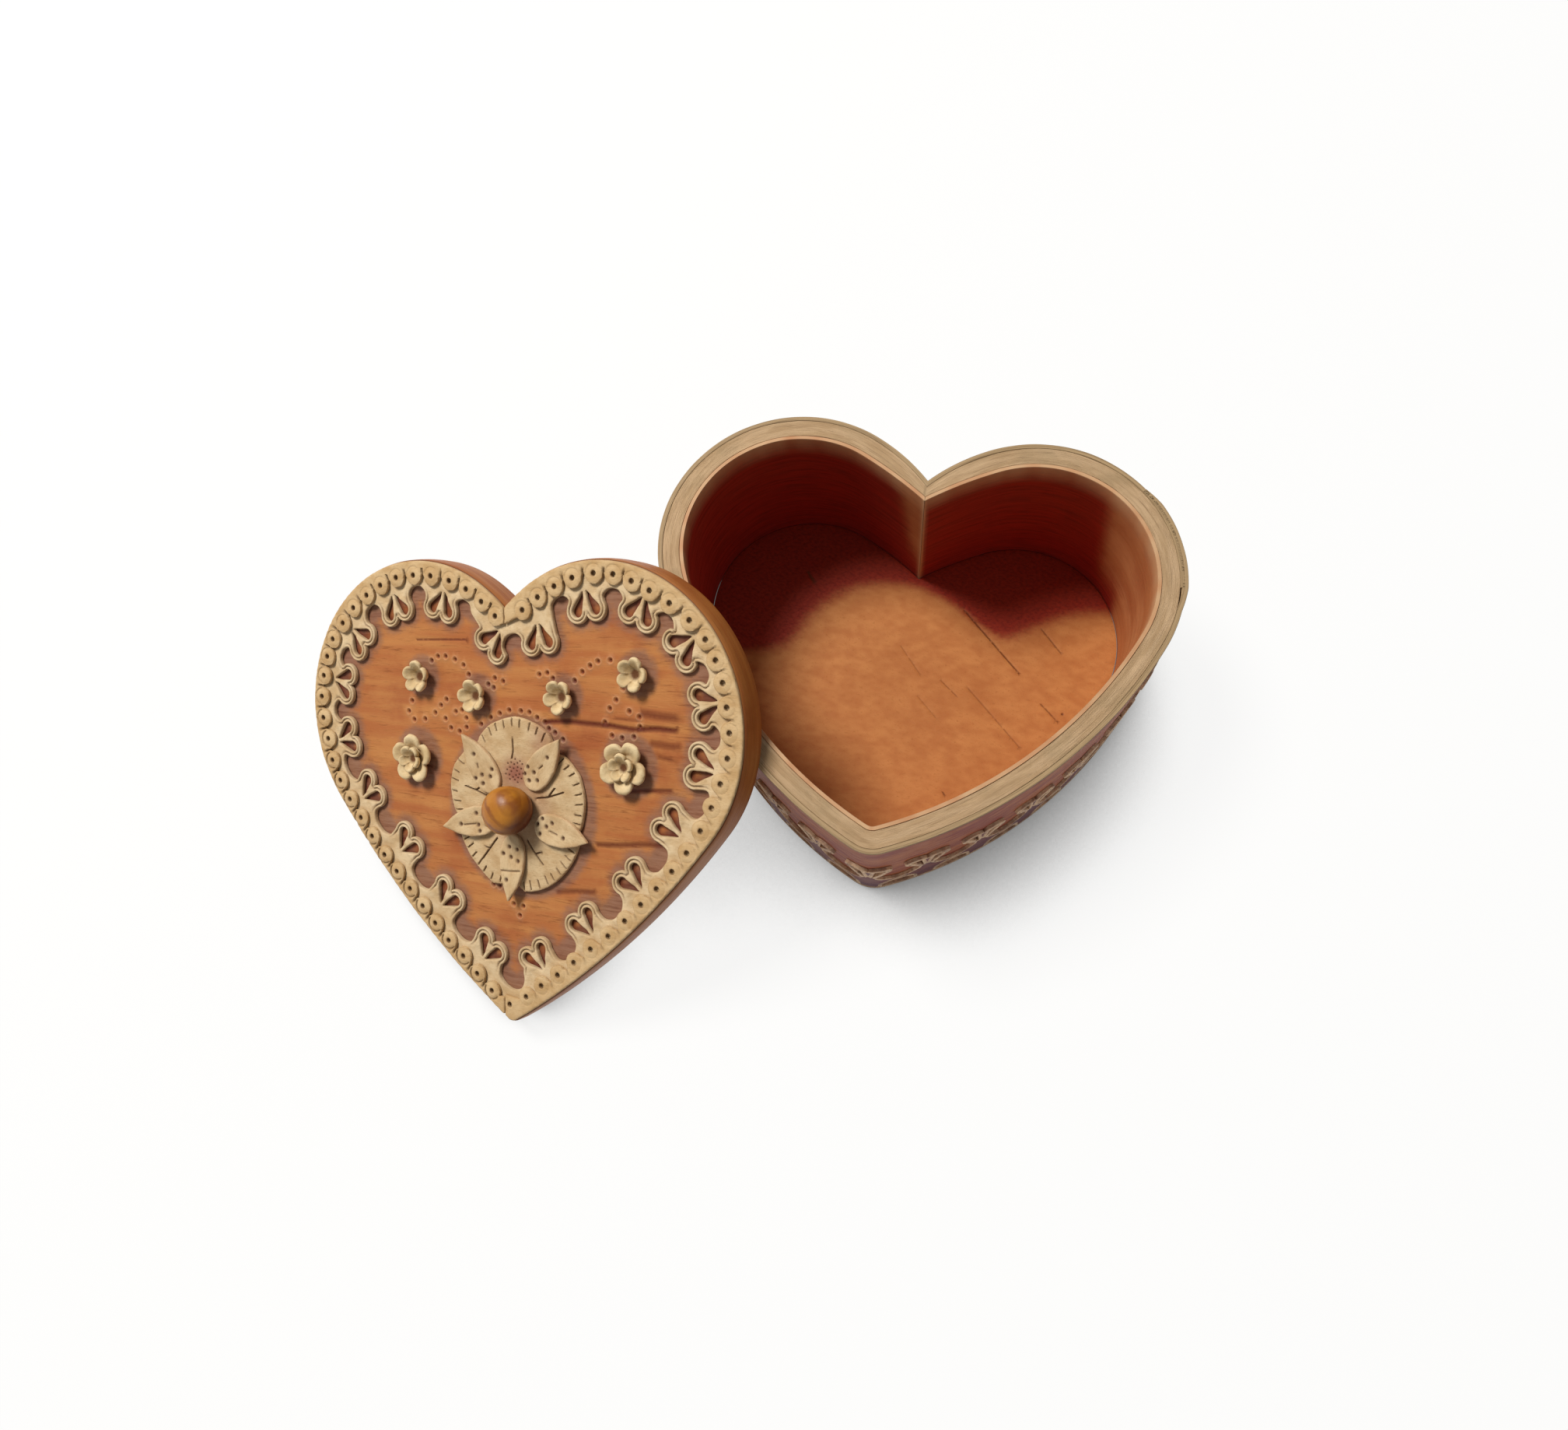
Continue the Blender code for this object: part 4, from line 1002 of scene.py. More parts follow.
# A gap between two motifs: up to this distance from the notch, half its width or its depth
laceGaps = {"half": (105, 2.95, 4.0), "depth": (110, 6.9, 5.9)}
scallops = {
    "right": [(4.3, 4.5), (10.8, 4.6), (17.5, 4.4), (24.1, 3.9), (31.2, 3.5), (37.6, 3.5), (43.7, 4.0), (49.9, 4.3),
              (56.9, 4.1), (64.3, 3.6), (71.0, 3.1), (76.9, 3.3), (82.9, 3.6), (89.2, 4.0), (95.8, 3.9), (102.4, 4.0),
              (109.6, 4.5), (116.7, 4.4), (124.0, 3.8), (131.0, 3.2), (137.6, 3.1), (144.3, 3.2), (150.9, 3.4),
              (157.8, 3.4), (164.8, 3.5), (171.8, 4.0), (178.8, 4.1), (185.6, 4.1), (192.3, 4.3), (198.8, 4.1)],
    "left": [(0.4, 3.7), (6.6, 3.7), (13.1, 3.6), (19.8, 3.8), (27.0, 4.0), (33.9, 4.1), (40.9, 4.0), (47.8, 4.3),
             (54.5, 4.4), (61.5, 4.2), (68.3, 4.1), (75.0, 3.3), (81.0, 3.3), (87.2, 3.4), (93.8, 3.2), (100.4, 3.4),
             (107.1, 4.0), (113.9, 3.3), (120.7, 3.1), (127.2, 2.9), (133.6, 2.8), (140.1, 2.8), (146.8, 2.9),
             (153.0, 3.2), (159.5, 3.5), (165.9, 3.5), (172.1, 3.3), (178.5, 3.2), (184.8, 3.5), (191.2, 3.1),
             (197.6, 2.9)],
    "radius": 2.6, "valley": 3.2, "hole": 0.72, "ring": 2.4, "edge": -0.3,
}
# The strips' own sides: the seam at the tip, how the gaps and the rings fade with the distance, and the dome
# the dark of the gaps and rings is partly carved depth and partly painted shade, strongest on the left strip, whose
# tabs throw shade
stripSides = {
    "right": {"seam": -2.25, "tipInner": -73.6, "gapAt": [0, 40, 70, 110], "gap": [1.0, 0.75, 0.25, 0.1],
              "ringAt": [0], "ring": [0.12], "dome": 0.2, "seed": 13.5},
    "left": {"seam": 2.45, "tipInner": -74.3, "gapAt": [0, 40, 70, 110], "gap": [1.0, 1.0, 0.9, 0.8],
             "ringAt": [60, 90, 120], "ring": [0.0, 0.3, 0.9], "dome": 0.3, "seed": 12.5},
}


def motifFrame(side, index):
    # Where a motif's own along and depth lead to, in the right half of the lid's plane.
    if index == 0:
        centre, way = laceMotifs["notch"][side]
        centre, way = Vector(centre), Vector(way).normalized()
    else:
        distance, depth = laceMotifs[side][index - 1]
        centre = inward(lidShape, distance, 0.0, depth)
        way = (centre - heartPoint(lidShape, distance)).normalized()
    onward = Vector((-way.y, way.x))
    return lambda along, depth: centre + along * onward + (depth - laceMotif["depth"]) * way


def halfLace(side):
    # The opening's edge on one half from the notch to the tip, the drop-shaped holes and the lobes' middles.
    spread, deep = laceMotif["spread"], laceMotif["lobeDepth"]
    up = [(point.x, point.y) for point in arc((-spread, deep), laceMotif["lobe"], 208, 31, 20)]
    down = [(-along, depth) for along, depth in reversed(up)]
    outline = [*up, (0, laceMotif["dip"]), *down]
    roundEnd = [(point.x, point.y) for point in arc((spread, deep), laceMotif["hole"], -42, 184, 14)]
    parts = []
    drops = []
    middles = []
    for index in range(len(laceMotifs[side]) + 1):
        place = motifFrame(side, index)
        parts.append([place(along, depth) for along, depth in outline])
        middles += [place(-spread, deep), place(spread, deep)]
        for turn in (-1, 1):
            drop = [place(turn * along, depth) for along, depth in roundEnd + laceMotif["holeTail"]]
            drops.append(drop if turn > 0 else drop[::-1])
    line = list(parts[0])
    for index, (lobes, after) in enumerate(zip(parts, parts[1:])):
        between = laceMotifs["firstGap"][side]
        if index:
            between = (laceMotifs[side][index - 1][0] + laceMotifs[side][index][0]) / 2
        half, depth = [near if between < limit else far for limit, near, far in (laceGaps["half"], laceGaps["depth"])]
        bends = [(-half, depth + 1.9), (-half * 0.55, depth + 0.35), (0, depth)]
        bends += [(-along, depth) for along, depth in reversed(bends[:-1])]
        edge = [inward(lidShape, between, along, depth) for along, depth in bends]
        line += splined([lobes[-3], lobes[-1], *edge, after[0], after[2]])[1:-1] + after
    return line, drops, middles


def laceLoops():
    right, rightDrops, rightMiddles = halfLace("right")
    left, leftDrops, leftMiddles = halfLace("left")
    left = mirrored(left)
    tip = [Vector(point) for point in reversed(laceMotifs["tipArch"])]
    notch = [Vector(point) for point in laceMotifs["notchArch"]]
    opening = right + splined([right[-2], right[-1], *tip, left[0], left[1]])[1:-1]
    opening += left + splined([left[-2], left[-1], *notch, right[0], right[1]])[1:-1]
    return opening, rightDrops + [mirrored(drop) for drop in leftDrops], rightMiddles + mirrored(leftMiddles)


laceOpening, laceDrops, laceMiddles = laceLoops()


def buildLace():
    form = {"step": 0.36, "rings": [0.16, 0.38, 0.6, 0.76, 0.92, 1.2], "grid": 1.1, "top": -0.95, "low": -2.05}
    spots = asRows(laceMiddles)

    def relief(flat, away, down):
        near, hole = away[1], away[2]
        lobe = toNearest(flat, spots)
        carved = fade(lobe, 0.9, 3.0)
        groove = bell(near, 0.82, 0.19) * (0.45 + 0.55 * carved) * np.clip((4.9 - lobe) / 1.2 + 0.45, 0, 1)
        drop = rounding(near, 0.42, 0.42) + rounding(hole, 0.5, 0.4) + 0.55 * groove
        drop += 0.26 * np.clip((near - 1.2) / 1.6, 0, 1) * (1 - carved)
        drop -= wavy(flat, 3.6, 1.5, 0.10) + wavy(flat, 1.5, 7.5, 0.04)
        # painted shade in the groove; at the cut edges partly the bark's darker layers and partly painted shade
        rims = 0.3 * fade(np.minimum(near, hole), 0.3)
        return drop + down, {"stain": np.maximum(rims, 0.75 * groove)}

    loops = [heartLoop(lidShape, -0.75), laceOpening, *laceDrops]
    made = carvedSheet("lace_frame_bark", loops, form, relief, groups=[[0], [1], list(range(2, len(loops)))])
    finishOnLid(made, "lace_frame", "birch_bark_pale", materials["lace"])


def stripLoops(side):
    # One strip in the right half's place: its seam at the tip lies a little left of the middle.
    own = stripSides[side]
    seam = own["seam"]
    right = [point for point in heartLoop(lidShape, scallops["edge"]) if point.x >= -1e-6]
    outer = [point for point in right if point.x > seam or point.y > 0]
    if seam < 0:
        outer += [point for point in mirrored(right) if point.y < -70 and seam < point.x < 0]
    outer.append(Vector((seam, outer[-1].y + 0.15)))
    tabs = scallops[side]
    inner = [Vector((0, heartLoop(lidShape, -scallops["valley"])[0].y))]
    holes = []
    marks = []
    for index, (distance, depth) in enumerate(tabs):
        inner += [inward(lidShape, distance, *point) for point in arc((0, depth), scallops["radius"], 172, 8, 10)]
        holes.append(arc(inward(lidShape, distance, 0.0, depth), scallops["hole"], 0, 324, 10))
        ring = float(np.interp(distance, own["ringAt"], own["ring"]))
        rim = [inward(lidShape, distance, *point) for point in arc((0, depth), scallops["ring"], 185, 355, 9)]
        marks.append(carveMark(rim, 0.34, 0.3 * ring, 0.6 * ring))
        if index + 1 == len(tabs):
            break
        after, afterDepth = tabs[index + 1]
        between = (distance + after) / 2
        shallow = min(depth, afterDepth)
        valley = inward(lidShape, between, 0.0, shallow - 0.55)
        inner.append(valley)
        gap = float(np.interp(distance, own["gapAt"], own["gap"]))
        gapEnd = inward(lidShape, between, 0.1, shallow - 1.5)
        marks.append(carveMark([valley, gapEnd], 0.5, 0.15 + 0.55 * gap, 0.3 + 0.6 * gap))
    inner.append(Vector((seam, own["tipInner"])))
    if side == "right":
        holes.append(arc((-0.6, -76.0), scallops["hole"], 0, 324, 10))
    edge = outer + inner[::-1]
    for point in edge:
        point.x = max(point.x, 0.12 if point.y > 0 else seam)
    return [edge] + holes, marks


def buildStrips():
    form = {"step": 0.38, "rings": [0.18, 0.42, 0.75], "grid": 1.0, "top": 0.0, "low": -0.85}
    for side, flip in (("right", list), ("left", mirrored)):
        loops, marks = stripLoops(side)
        loops = [flip(loop) for loop in loops]
        marks = [dict(mark, line=flip(mark["line"])) for mark in marks]
        tabs = asRows([sum(loop, Vector((0, 0))) / len(loop) for loop in loops[1:]])
        dome, seed, ring = stripSides[side]["dome"], stripSides[side]["seed"], scallops["ring"]

        def relief(flat, away, down):
            tab = toNearest(flat, tabs)
            drop = rounding(away[0], 0.55, 0.34) + rounding(away[1], 0.4, 0.3) + down
            drop += dome * (np.clip(tab / ring, 0, 1) ** 2 - 0.5) * (tab < ring)
            drop -= wavy(flat, 5.0, seed, 0.10) + wavy(flat, 1.4, 3.5, 0.035)
            # painted shade: brown round the holes and a dark line along the outer edge
            return drop, {"stain": np.maximum(0.8 * fade(away[1], 0.22), 0.22 * fade(away[0], 0.35))}

        groups = [[0], list(range(1, len(loops)))]
        made = carvedSheet("scallop_strip_" + side, loops, form, relief, marks=marks, groups=groups)
        finishOnLid(made, "scallop_border_" + side, "birch_bark_pale", materials["strip"])


punched = [
    (-27.1, 14.2), (-24.8, 15.4), (-22.1, 15.5), (-18.8, 14.8), (-15.9, 13.4), (-14.1, 11.0), (-7.5, 8.7),
    (-5.3, 10.4), (-2.5, 9.7), (-5.7, 7.9), (-34.6, 3.0), (-35.9, 0.1), (-34.0, -2.1), (-30.0, -1.7),
    (-26.3, 0.2), (-24.2, 2.3), (-22.2, 4.0), (-19.0, 0.9), (-16.8, 1.4), (-22.7, -1.2), (-15.3, -0.6),
    (-20.8, -3.6), (-17.8, -4.3), (-15.3, -3.1), (-10.2, -1.9), (-6.9, 0.1), (-3.8, 1.3), (-0.6, 2.3),
    (3.3, 2.3), (6.0, 2.1), (8.5, 0.9), (11.0, -0.2), (12.2, -1.7), (14.2, -2.6), (16.7, -4.2), (9.5, 12.0),
    (12.0, 12.5), (13.8, 11.2), (20.6, 10.9), (23.0, 13.2), (25.4, 14.8), (27.8, 16.0), (31.5, 16.4),
    (35.2, 9.7), (33.1, 6.7), (31.2, 4.5), (29.7, 1.0), (37.0, 4.1), (39.9, 2.9), (40.1, 0.5), (31.8, -2.2),
    (34.8, -2.6), (38.3, -2.1), (-0.4, -49.1), (2.8, -49.3), (1.6, -52.0), (-7.2, -44.7), (-5.1, -44.9),
]
# Dark streaks and smears of the top sheet: their line, half width, depth and darkness
sheetStreaks = [
    ([(11.0, 0.0), (18, 0.6), (24, 0.4), (31, 0.3), (38, -0.3), (45, 0.4), (50.8, 0.2)], 1.0, 0.25, 0.95),
    ([(41.0, 3.9), (46.0, 3.5), (51.0, 3.3)], 1.5, 0.05, 0.7),
    ([(43.5, -3.2), (47.0, -3.6), (51.0, -3.7)], 1.3, 0.05, 0.62),
    ([(45.5, -6.4), (50.0, -6.9)], 0.9, 0.05, 0.55), ([(33.0, 2.2), (40.0, 2.0)], 0.6, 0.05, 0.45),
    ([(-34.5, -13.9), (-27.0, -14.6)], 0.6, 0.05, 0.55), ([(-32.2, 19.7), (-14.3, 20.2)], 0.42, 0.12, 0.8),
    ([(36.4, -15.6), (43, -14.9), (49.7, -14.4)], 0.8, 0.18, 0.85),
    ([(27.1, -30.0), (33, -29.6), (40, -28.6), (47, -28.2)], 1.0, 0.18, 0.82),
    ([(14.2, -43.9), (20, -43.0), (26.1, -42.6)], 1.0, 0.15, 0.72),
]
# Each kind of flower: its sizes, how high it starts and how far the painted shade round it reaches on the sheet
flowerKinds = {
    "small": {"radius": 4.4, "height": 3.4, "dish": 0.8, "dip": 0.36, "low": -2.1, "shade": 5.0},
    "cup": {"radius": 6.7, "height": 3.4, "dish": 1.2, "dip": 0.42, "low": -2.1, "shade": 7.6},
    "heart": {"radius": 3.7, "height": 3.0, "dish": 0.8, "dip": 0.36, "low": -0.9, "shade": 5.0},
}
# One row a flower: kind, piece, node, place in halves of the lid's width, turn in radians and seed
flowers = [
    ("small", "small_flower_bark_1", "small_flower_1", (-0.432, 0.141), 0.3, 1.5),
    ("small", "small_flower_bark_2", "small_flower_2", (-0.155, 0.081), 0.6, 2.5),
    ("small", "small_flower_bark_3", "small_flower_3", (0.246, 0.097), 0.9, 3.5),
    ("small", "small_flower_bark_4", "small_flower_4", (0.563, 0.191), 1.2, 4.5),
    ("cup", "double_flower_left_cup", "double_flower_left_outer", (-0.464, -0.176), 0.3, 11.5),
    ("heart", "double_flower_left_heart", "double_flower_left_inner", (-0.464, -0.176), 0.9, 14.5),
    ("cup", "double_flower_right_cup", "double_flower_right_outer", (0.523, -0.134), 1.0, 11.5),
    ("heart", "double_flower_right_heart", "double_flower_right_inner", (0.523, -0.134), 1.6, 14.5),
]
rosetteMiddle = Vector((0.037, -0.324)) * lidHalf
rosetteShade = 23.5


def buildSheet():
    form = {"step": 0.9, "rings": [0.5], "grid": 1.5, "top": -2.3, "low": -2.9}
    # the punched dots' dark is partly painted shade
    marks = [carveMark([dot], 0.72, 0.6, 0.95) for dot in punched]
    marks += [carveMark(*row) for row in sheetStreaks]
    rims = [point for dot in punched for reach in (0.95, 1.2) for point in arc(dot, reach, 0, 345, 14)]
    dots = np.array(punched)
    shades = [(x * lidHalf, y * lidHalf, flowerKinds[kind]["shade"]) for kind, *names, (x, y), turn, seed in flowers]
    shades.append((*rosetteMiddle, rosetteShade))

    def relief(flat, away, down):
        edge = away[0]
        # painted shade: mauve brown beside the lace's opening, round the flowers and the rosette, and under the lace
        # frame near the edge
        stain = fade(distancesTo(flat, [laceOpening], 0.5), 4.2) ** 1.3
        for x, y, radius in shades:
            beyond = np.hypot(flat[:, 0] - x, flat[:, 1] - y)
            stain = np.maximum(stain, 0.85 * fade(beyond, 2.6, radius) ** 1.3)
        stain = np.maximum(stain, fade(edge, 3.0, 9.0))
        rim = bell(toNearest(flat, dots), 0.98, 0.2)
        # painted shade: the sheet is laid dark under the lace's drop-shaped holes
        under = fade(distancesTo(flat, laceDrops, 0.3), 1.6) * (edge < 16)
        return down - 0.16 * rim - wavy(flat, 12, 3.5, 0.12), {"stain": stain, "deep": under, "rubbed": rim}

    made = carvedSheet("lid_top_bark", [heartLoop(lidShape, -0.7)], form, relief, marks=marks, extra=rims)
    finishOnLid(made, "lid_top_sheet", "birch_bark_amber", materials["top"])


# The lid's side: height and bulge of its outer rows, then its top and inside; how dark each of its rows is, painted
# shade on its top and inside, which lie in the gap under the strip and in the cap
lidSide = {
    "outer": [(-8.5, 0.0), (-8.1, 0.05), (-6.5, 0.18), (-4.5, 0.22), (-2.5, 0.12)], "top": -0.78,
    "lip": -0.7, "lipLow": -3.15, "inner": -2.2, "innerHigh": -3.2, "low": -8.5,
    "dark": [0, 0, 0, 0, 0, 0.1, 0.75, 1.0, 1.0, 1.0, 0],
}


def buildLidBand():
    length = 2 * halfLength(lidShape)
    count = round(length / wallStep)
    sections = []
    places = []
    for step in range(count):
        distance = length * step / count
        outerAt = heartPoint(lidShape, distance)
        lipAt = heartPoint(lidShape, distance, lidSide["lip"])
        innerAt = heartPoint(lidShape, distance, lidSide["inner"])
        out = (outerAt - innerAt).normalized()
        sway = 0.12 * noise.noise((distance / 12, 1.5, 5.5))
        top = lidSide["top"] + 0.10 * noise.noise((distance / 7, 2.5, 6.5))
        rows = [(outerAt, height, bulge + sway if bulge else 0.0) for height, bulge in lidSide["outer"]]
        rows.append((outerAt, top - 0.25, 0.0))
        rows += [(outerAt.lerp(lipAt, share), top, 0.0) for share in (0.3, 0.9)]
        rows.append((lipAt, lidSide["lipLow"], 0.0))
        rows += [(innerAt, height, 0.0) for height in (lidSide["innerHigh"], lidSide["low"])]
        sections.append([(*(point + out * bulge), height) for point, height, bulge in rows])
        places.append([(distance, height, (point - outerAt).length) for point, height, bulge in rows])
    made = ribbon("lid_side_bark", sections, places, {"mark": [lidSide["dark"]] * count})
    finishOnLid(made, "lid_band", "birch_bark_amber", materials["lidBand"])


buildLace()
buildStrips()
buildSheet()
buildLidBand()
print("lid ready")


# The rosette, the bead and the flowers

# The rosette's edge by direction and reach, its slits, the ticks along its edge and its pocked patch
rosette = {
    "edge": [
        (-10.5, 20.3), (10, 21.6), (27, 22.0), (44, 20.9), (50, 19.4), (55, 20.6), (62, 22.3), (76, 23.0), (92.7, 23.7),
        (112, 22.9), (125, 21.9), (130.6, 20.8), (137, 22.0), (144, 22.5), (156, 23.6), (171, 23.2), (186, 21.8),
        (194.5, 20.4), (202, 21.4), (209, 21.8), (227.5, 22.0), (247.5, 22.9), (256, 21.4), (262, 18.8), (268, 20.6),
        (274, 22.2), (291.5, 22.1), (310, 21.6), (327.5, 21.2), (340, 20.8), (346.5, 19.8)],
    "edgePoints": 420,
    "slits": [
        [(-1.3, 17.9), (-1.2, 15.0), (-1.7, 12.5)], [(-17.6, 4.2), (-14.0, 3.4), (-10.2, 2.2)],
        [(14.7, 5.2), (10.0, 3.6), (6.0, 3.0)], [(-7.2, -9.0), (-9.6, -11.8), (-12.3, -15.0)],
        [(3.1, -8.4), (5.6, -11.6), (8.3, -14.4)], [(-14.0, 3.4), (-12.0, 4.6)], [(5.6, -11.6), (7.4, -11.0)],
        [(-9.6, -11.8), (-11.4, -11.4)], [(10.0, 3.6), (12.4, 6.4)]],
    "tickStep": 7.2, "tickLong": 1.9,
    "patch": {"middle": (-0.4, 9.6), "reach": 3.4, "dots": 26, "turn": 2.4},  # the turn in radians from dot to dot
    "pinkAt": 66,
}
# One row a petal: its direction, where its middle line starts and ends across it, its punched holes and its vein
petals = [
    {"angle": 130.6, "foot": 2.2, "tip": 0.6, "vein": [(16.0, 2.0), (15.0, 2.6)],
     "holes": [(18.5, 1.2), (12.1, -0.6), (12.9, 2.9), (13.4, 5.0), (11.0, 1.1), (11.0, 4.1)]},
    {"angle": 52, "foot": 0.3, "tip": -0.5, "vein": [(13.9, 0.2), (15.6, -0.3)],
     "holes": [(18.1, -0.2), (11.8, 3.2), (9.6, 3.0), (11.9, 0.9), (9.0, 0.9), (10.9, -1.1)]},
    {"angle": -13.5, "foot": -1.8, "tip": -0.6, "vein": [(12.3, -2.0), (15.0, -2.1)],
     "holes": [(16.9, -2.2), (9.1, 0.3), (7.9, -1.5), (10.8, -1.3), (12.4, 0.2), (9.3, -3.7)]},
    {"angle": -95.2, "foot": 0.0, "tip": 0.3, "vein": [(17.2, -3.4), (16.8, 0.0), (16.1, 3.3)],
     "holes": [(19.3, -1.0), (10.5, -1.1), (10.7, 1.5), (12.6, -2.8), (13.1, -0.3), (13.7, 2.1)]},
    {"angle": 194.5, "foot": 1.5, "tip": 0.7, "vein": [(17.8, 1.5), (14.0, 1.9)],
     "holes": [(18.8, 1.2), (13.2, -0.8), (11.1, 0.1), (13.2, 2.3), (10.5, 2.7), (13.0, 4.0)]},
]
# Every petal starts this far out and is this long; half its width by the share of its length
petalForm = {
    "start": 7.0, "long": 17.6, "low": -0.8,
    "widths": [(0, 0.6), (0.03, 1.7), (0.08, 2.7), (0.16, 3.5), (0.28, 3.95), (0.4, 4.0), (0.55, 3.7), (0.7, 2.9),
               (0.82, 1.95), (0.92, 0.95), (1, 0.12)],
}


def buildRosette():
    turns, reaches = zip(*rosette["edge"])

    def edgeReach(angle):
        return float(np.interp(angle, turns, reaches, period=360))

    edge = []
    for step in range(rosette["edgePoints"]):
        angle = 360 * step / rosette["edgePoints"]
        way = onCircle(math.radians(angle))
        edge.append((edgeReach(angle) + 0.16 * noise.noise((*(5 * way), 0.5))) * way)
    marks = []
    for step in range(round(360 / rosette["tickStep"])):
        angle = step * rosette["tickStep"] + 1.6 * noise.noise((step * 1.7, 3.5, 0.5))
        reach = edgeReach(angle)
        long = rosette["tickLong"] * (1 + 0.3 * noise.noise((step * 2.3, 7.5, 0.5)))
        way = onCircle(math.radians(angle))
        marks.append(carveMark([(reach - 0.45 - long) * way, (reach - 0.4) * way], 0.3, 0.55, 0.75))
    # the slits' and ticks' dark is partly painted shade
    marks += [carveMark(slit, 0.32, 0.6, 0.95) for slit in rosette["slits"]]
    patch = rosette["patch"]
    for index in range(patch["dots"]):
        away = patch["reach"] * math.sqrt((index + 0.5) / patch["dots"])
        away *= 1 + 0.2 * noise.noise((index * 1.3, 0.5, 2.5))
        marks.append(carveMark([Vector(patch["middle"]) + away * onCircle(index * patch["turn"])], 0.36, 0.35, 0.85))
    form = {"step": 0.4, "rings": [0.2, 0.5], "grid": 0.8, "top": -0.95, "low": -2.0}

    def relief(flat, away, down):
        drop = rounding(away[0], 0.5, 0.35) + down - wavy(flat, 7, 2.5, 0.14) - wavy(flat, 2.0, 4.5, 0.04)
        x, y = flat.T
        out = np.hypot(x, y)
        pocked = bell(np.hypot(x - patch["middle"][0], y - patch["middle"][1]), 0, patch["reach"] * 1.1)
        pink = 0.5 * bell(np.degrees(np.arctan2(y, x)), rosette["pinkAt"], 10) * np.clip((out - 14) / 4, 0, 1)
        inner = 0.35 * fade(out, 4.0, 9.0)
        return drop, {"stain": np.clip(np.maximum(pink, inner) + 0.8 * pocked, 0, 1)}

    made = carvedSheet("rosette_base_bark", [edge], form, relief, marks=marks)
    finishOnLid(made, "rosette_base", "birch_bark_pale", materials["rosette"], rosetteMiddle)


def curled(place):
    # A petal's tip rises, and its sides curl up.
    out = place.copy()
    share = np.clip((place[:, 0] - 6.0) / 18.6, 0, 1)
    out[:, 2] += 1.5 * share ** 2 + 0.02 * place[:, 1] ** 2
    return out


def buildPetals():
    form = {"step": 0.35, "rings": [0.2, 0.45, 0.8], "grid": 0.8, "top": 0.9, "low": 0.0}
    for number, petal in enumerate(petals, 1):
        upper = []
        lower = []
        for share, width in petalForm["widths"]:
            along = petalForm["start"] + petalForm["long"] * share
            middle = petal["foot"] + (petal["tip"] - petal["foot"]) * share
            upper.append(Vector((along, middle + width)))
            lower.insert(0, Vector((along, middle - width)))
        loop = splined([lower[-2], lower[-1], *upper, *lower, upper[0]])
        # the petal holes' dark is partly painted shade
        marks = [carveMark([hole], 0.85, 0.6, 1.0) for hole in petal["holes"]]
        marks.append(carveMark(petal["vein"], 0.32, 0.35, 0.7))

        def relief(flat, away, down):
            drop = rounding(away[0], 0.55, 0.42) + down
            drop -= wavy(flat, 4, 2.5 + number, 0.1) + wavy(flat, 1.4, number, 0.04)
            return drop, {"stain": 0.25 * fade(away[0], 0.3)}

        made = carvedSheet("petal_leaf_" + str(number), [loop], form, relief, curled, marks=marks)
        node = "petal_" + str(number)
        place = (rosetteMiddle, petalForm["low"], petal["angle"])
        finishOnLid(made, node, "birch_bark_pale", materials["rosette"], *place)


# The bead's outline by radius and height, and where it stands from the rosette's middle
bead = {
    "rows": [(0.0, 0.0), (3.0, 0.0), (4.6, 0.9), (5.75, 2.7), (6.25, 5.1), (6.05, 7.2), (5.1, 9.1), (3.5, 10.3),
             (1.7, 10.85), (0.0, 11.0)],
    "sides": 64, "shift": (1.3, 0.3), "low": -0.8,
}


def buildBead():
    points, faces = turnedMesh(smoothProfile(bead["rows"], 4), bead["sides"])
    made = addMesh("bead_knob_wood", points, faces, {"place": points})
    at = rosetteMiddle + Vector(bead["shift"])
    finishOnLid(made, "bead_knob", "varnished_wood", materials["bead"], at, bead["low"])


# A flower's outline from under its foot over its edge into its cup, in shares of its radius and height
flowerRows = [
    (0.0, 0.0), (0.42, 0.0), (0.62, 0.18), (0.84, 0.42), (0.98, 0.68), (1.0, 0.84), (0.96, 0.96), (0.88, 1.0),
    (0.78, 0.94), (0.62, 0.72), (0.46, 0.45),
]


def flowerMesh(name, kind, turn, seed):
    # A cupped flower of five rounded petals round a hollow middle.
    radius, height, dish = kind["radius"], kind["height"], kind["dish"] / kind["height"]
    rows = [*flowerRows, (0.3, dish + 0.06), (0.0, dish)]
    profile = smoothProfile([(radius * share, height * rise) for share, rise in rows], 3)
    stain = []

    def shape(reach, up, angle, row):
        petal = abs(math.cos(2.5 * (angle - turn))) ** 0.45
        index = round((angle - turn) / (2 * math.pi / 5)) % 5
        share = reach / radius
        pull = kind["dip"] * (1 - petal) * min(share / 0.6, 1.0) ** 2
        side = 1 - pull + 0.05 * noise.noise((seed, index * 3.7, 0.5))
        point = reach * side * onCircle(angle)
        point *= 1 + 0.03 * noise.noise((point.x, point.y, up + seed))
        # painted shade: darker down in the cup and in the creases between the petals
        deep = max(0.0, 1 - share / 0.45) if row > len(profile) / 2 else 0.0
        stain.append(min(1.0, deep * 1.8 + 0.8 * (1 - petal) ** 2 * min(share * 1.5, 1)))
        return (*point, up * (1 - 0.28 * (1 - petal) * (up / height)))

    points, faces = turnedMesh(profile, 90, shape)
    return addMesh(name, points, faces, {"place": points, "stain": stain}, 80)


def buildFlowers():
    for kindName, name, node, (x, y), turn, seed in flowers:
        kind = flowerKinds[kindName]
        made = flowerMesh(name, kind, turn, seed)
        at = (x * lidHalf, y * lidHalf)
        finishOnLid(made, node, "birch_bark_pale", materials["flower"], at, kind["low"])


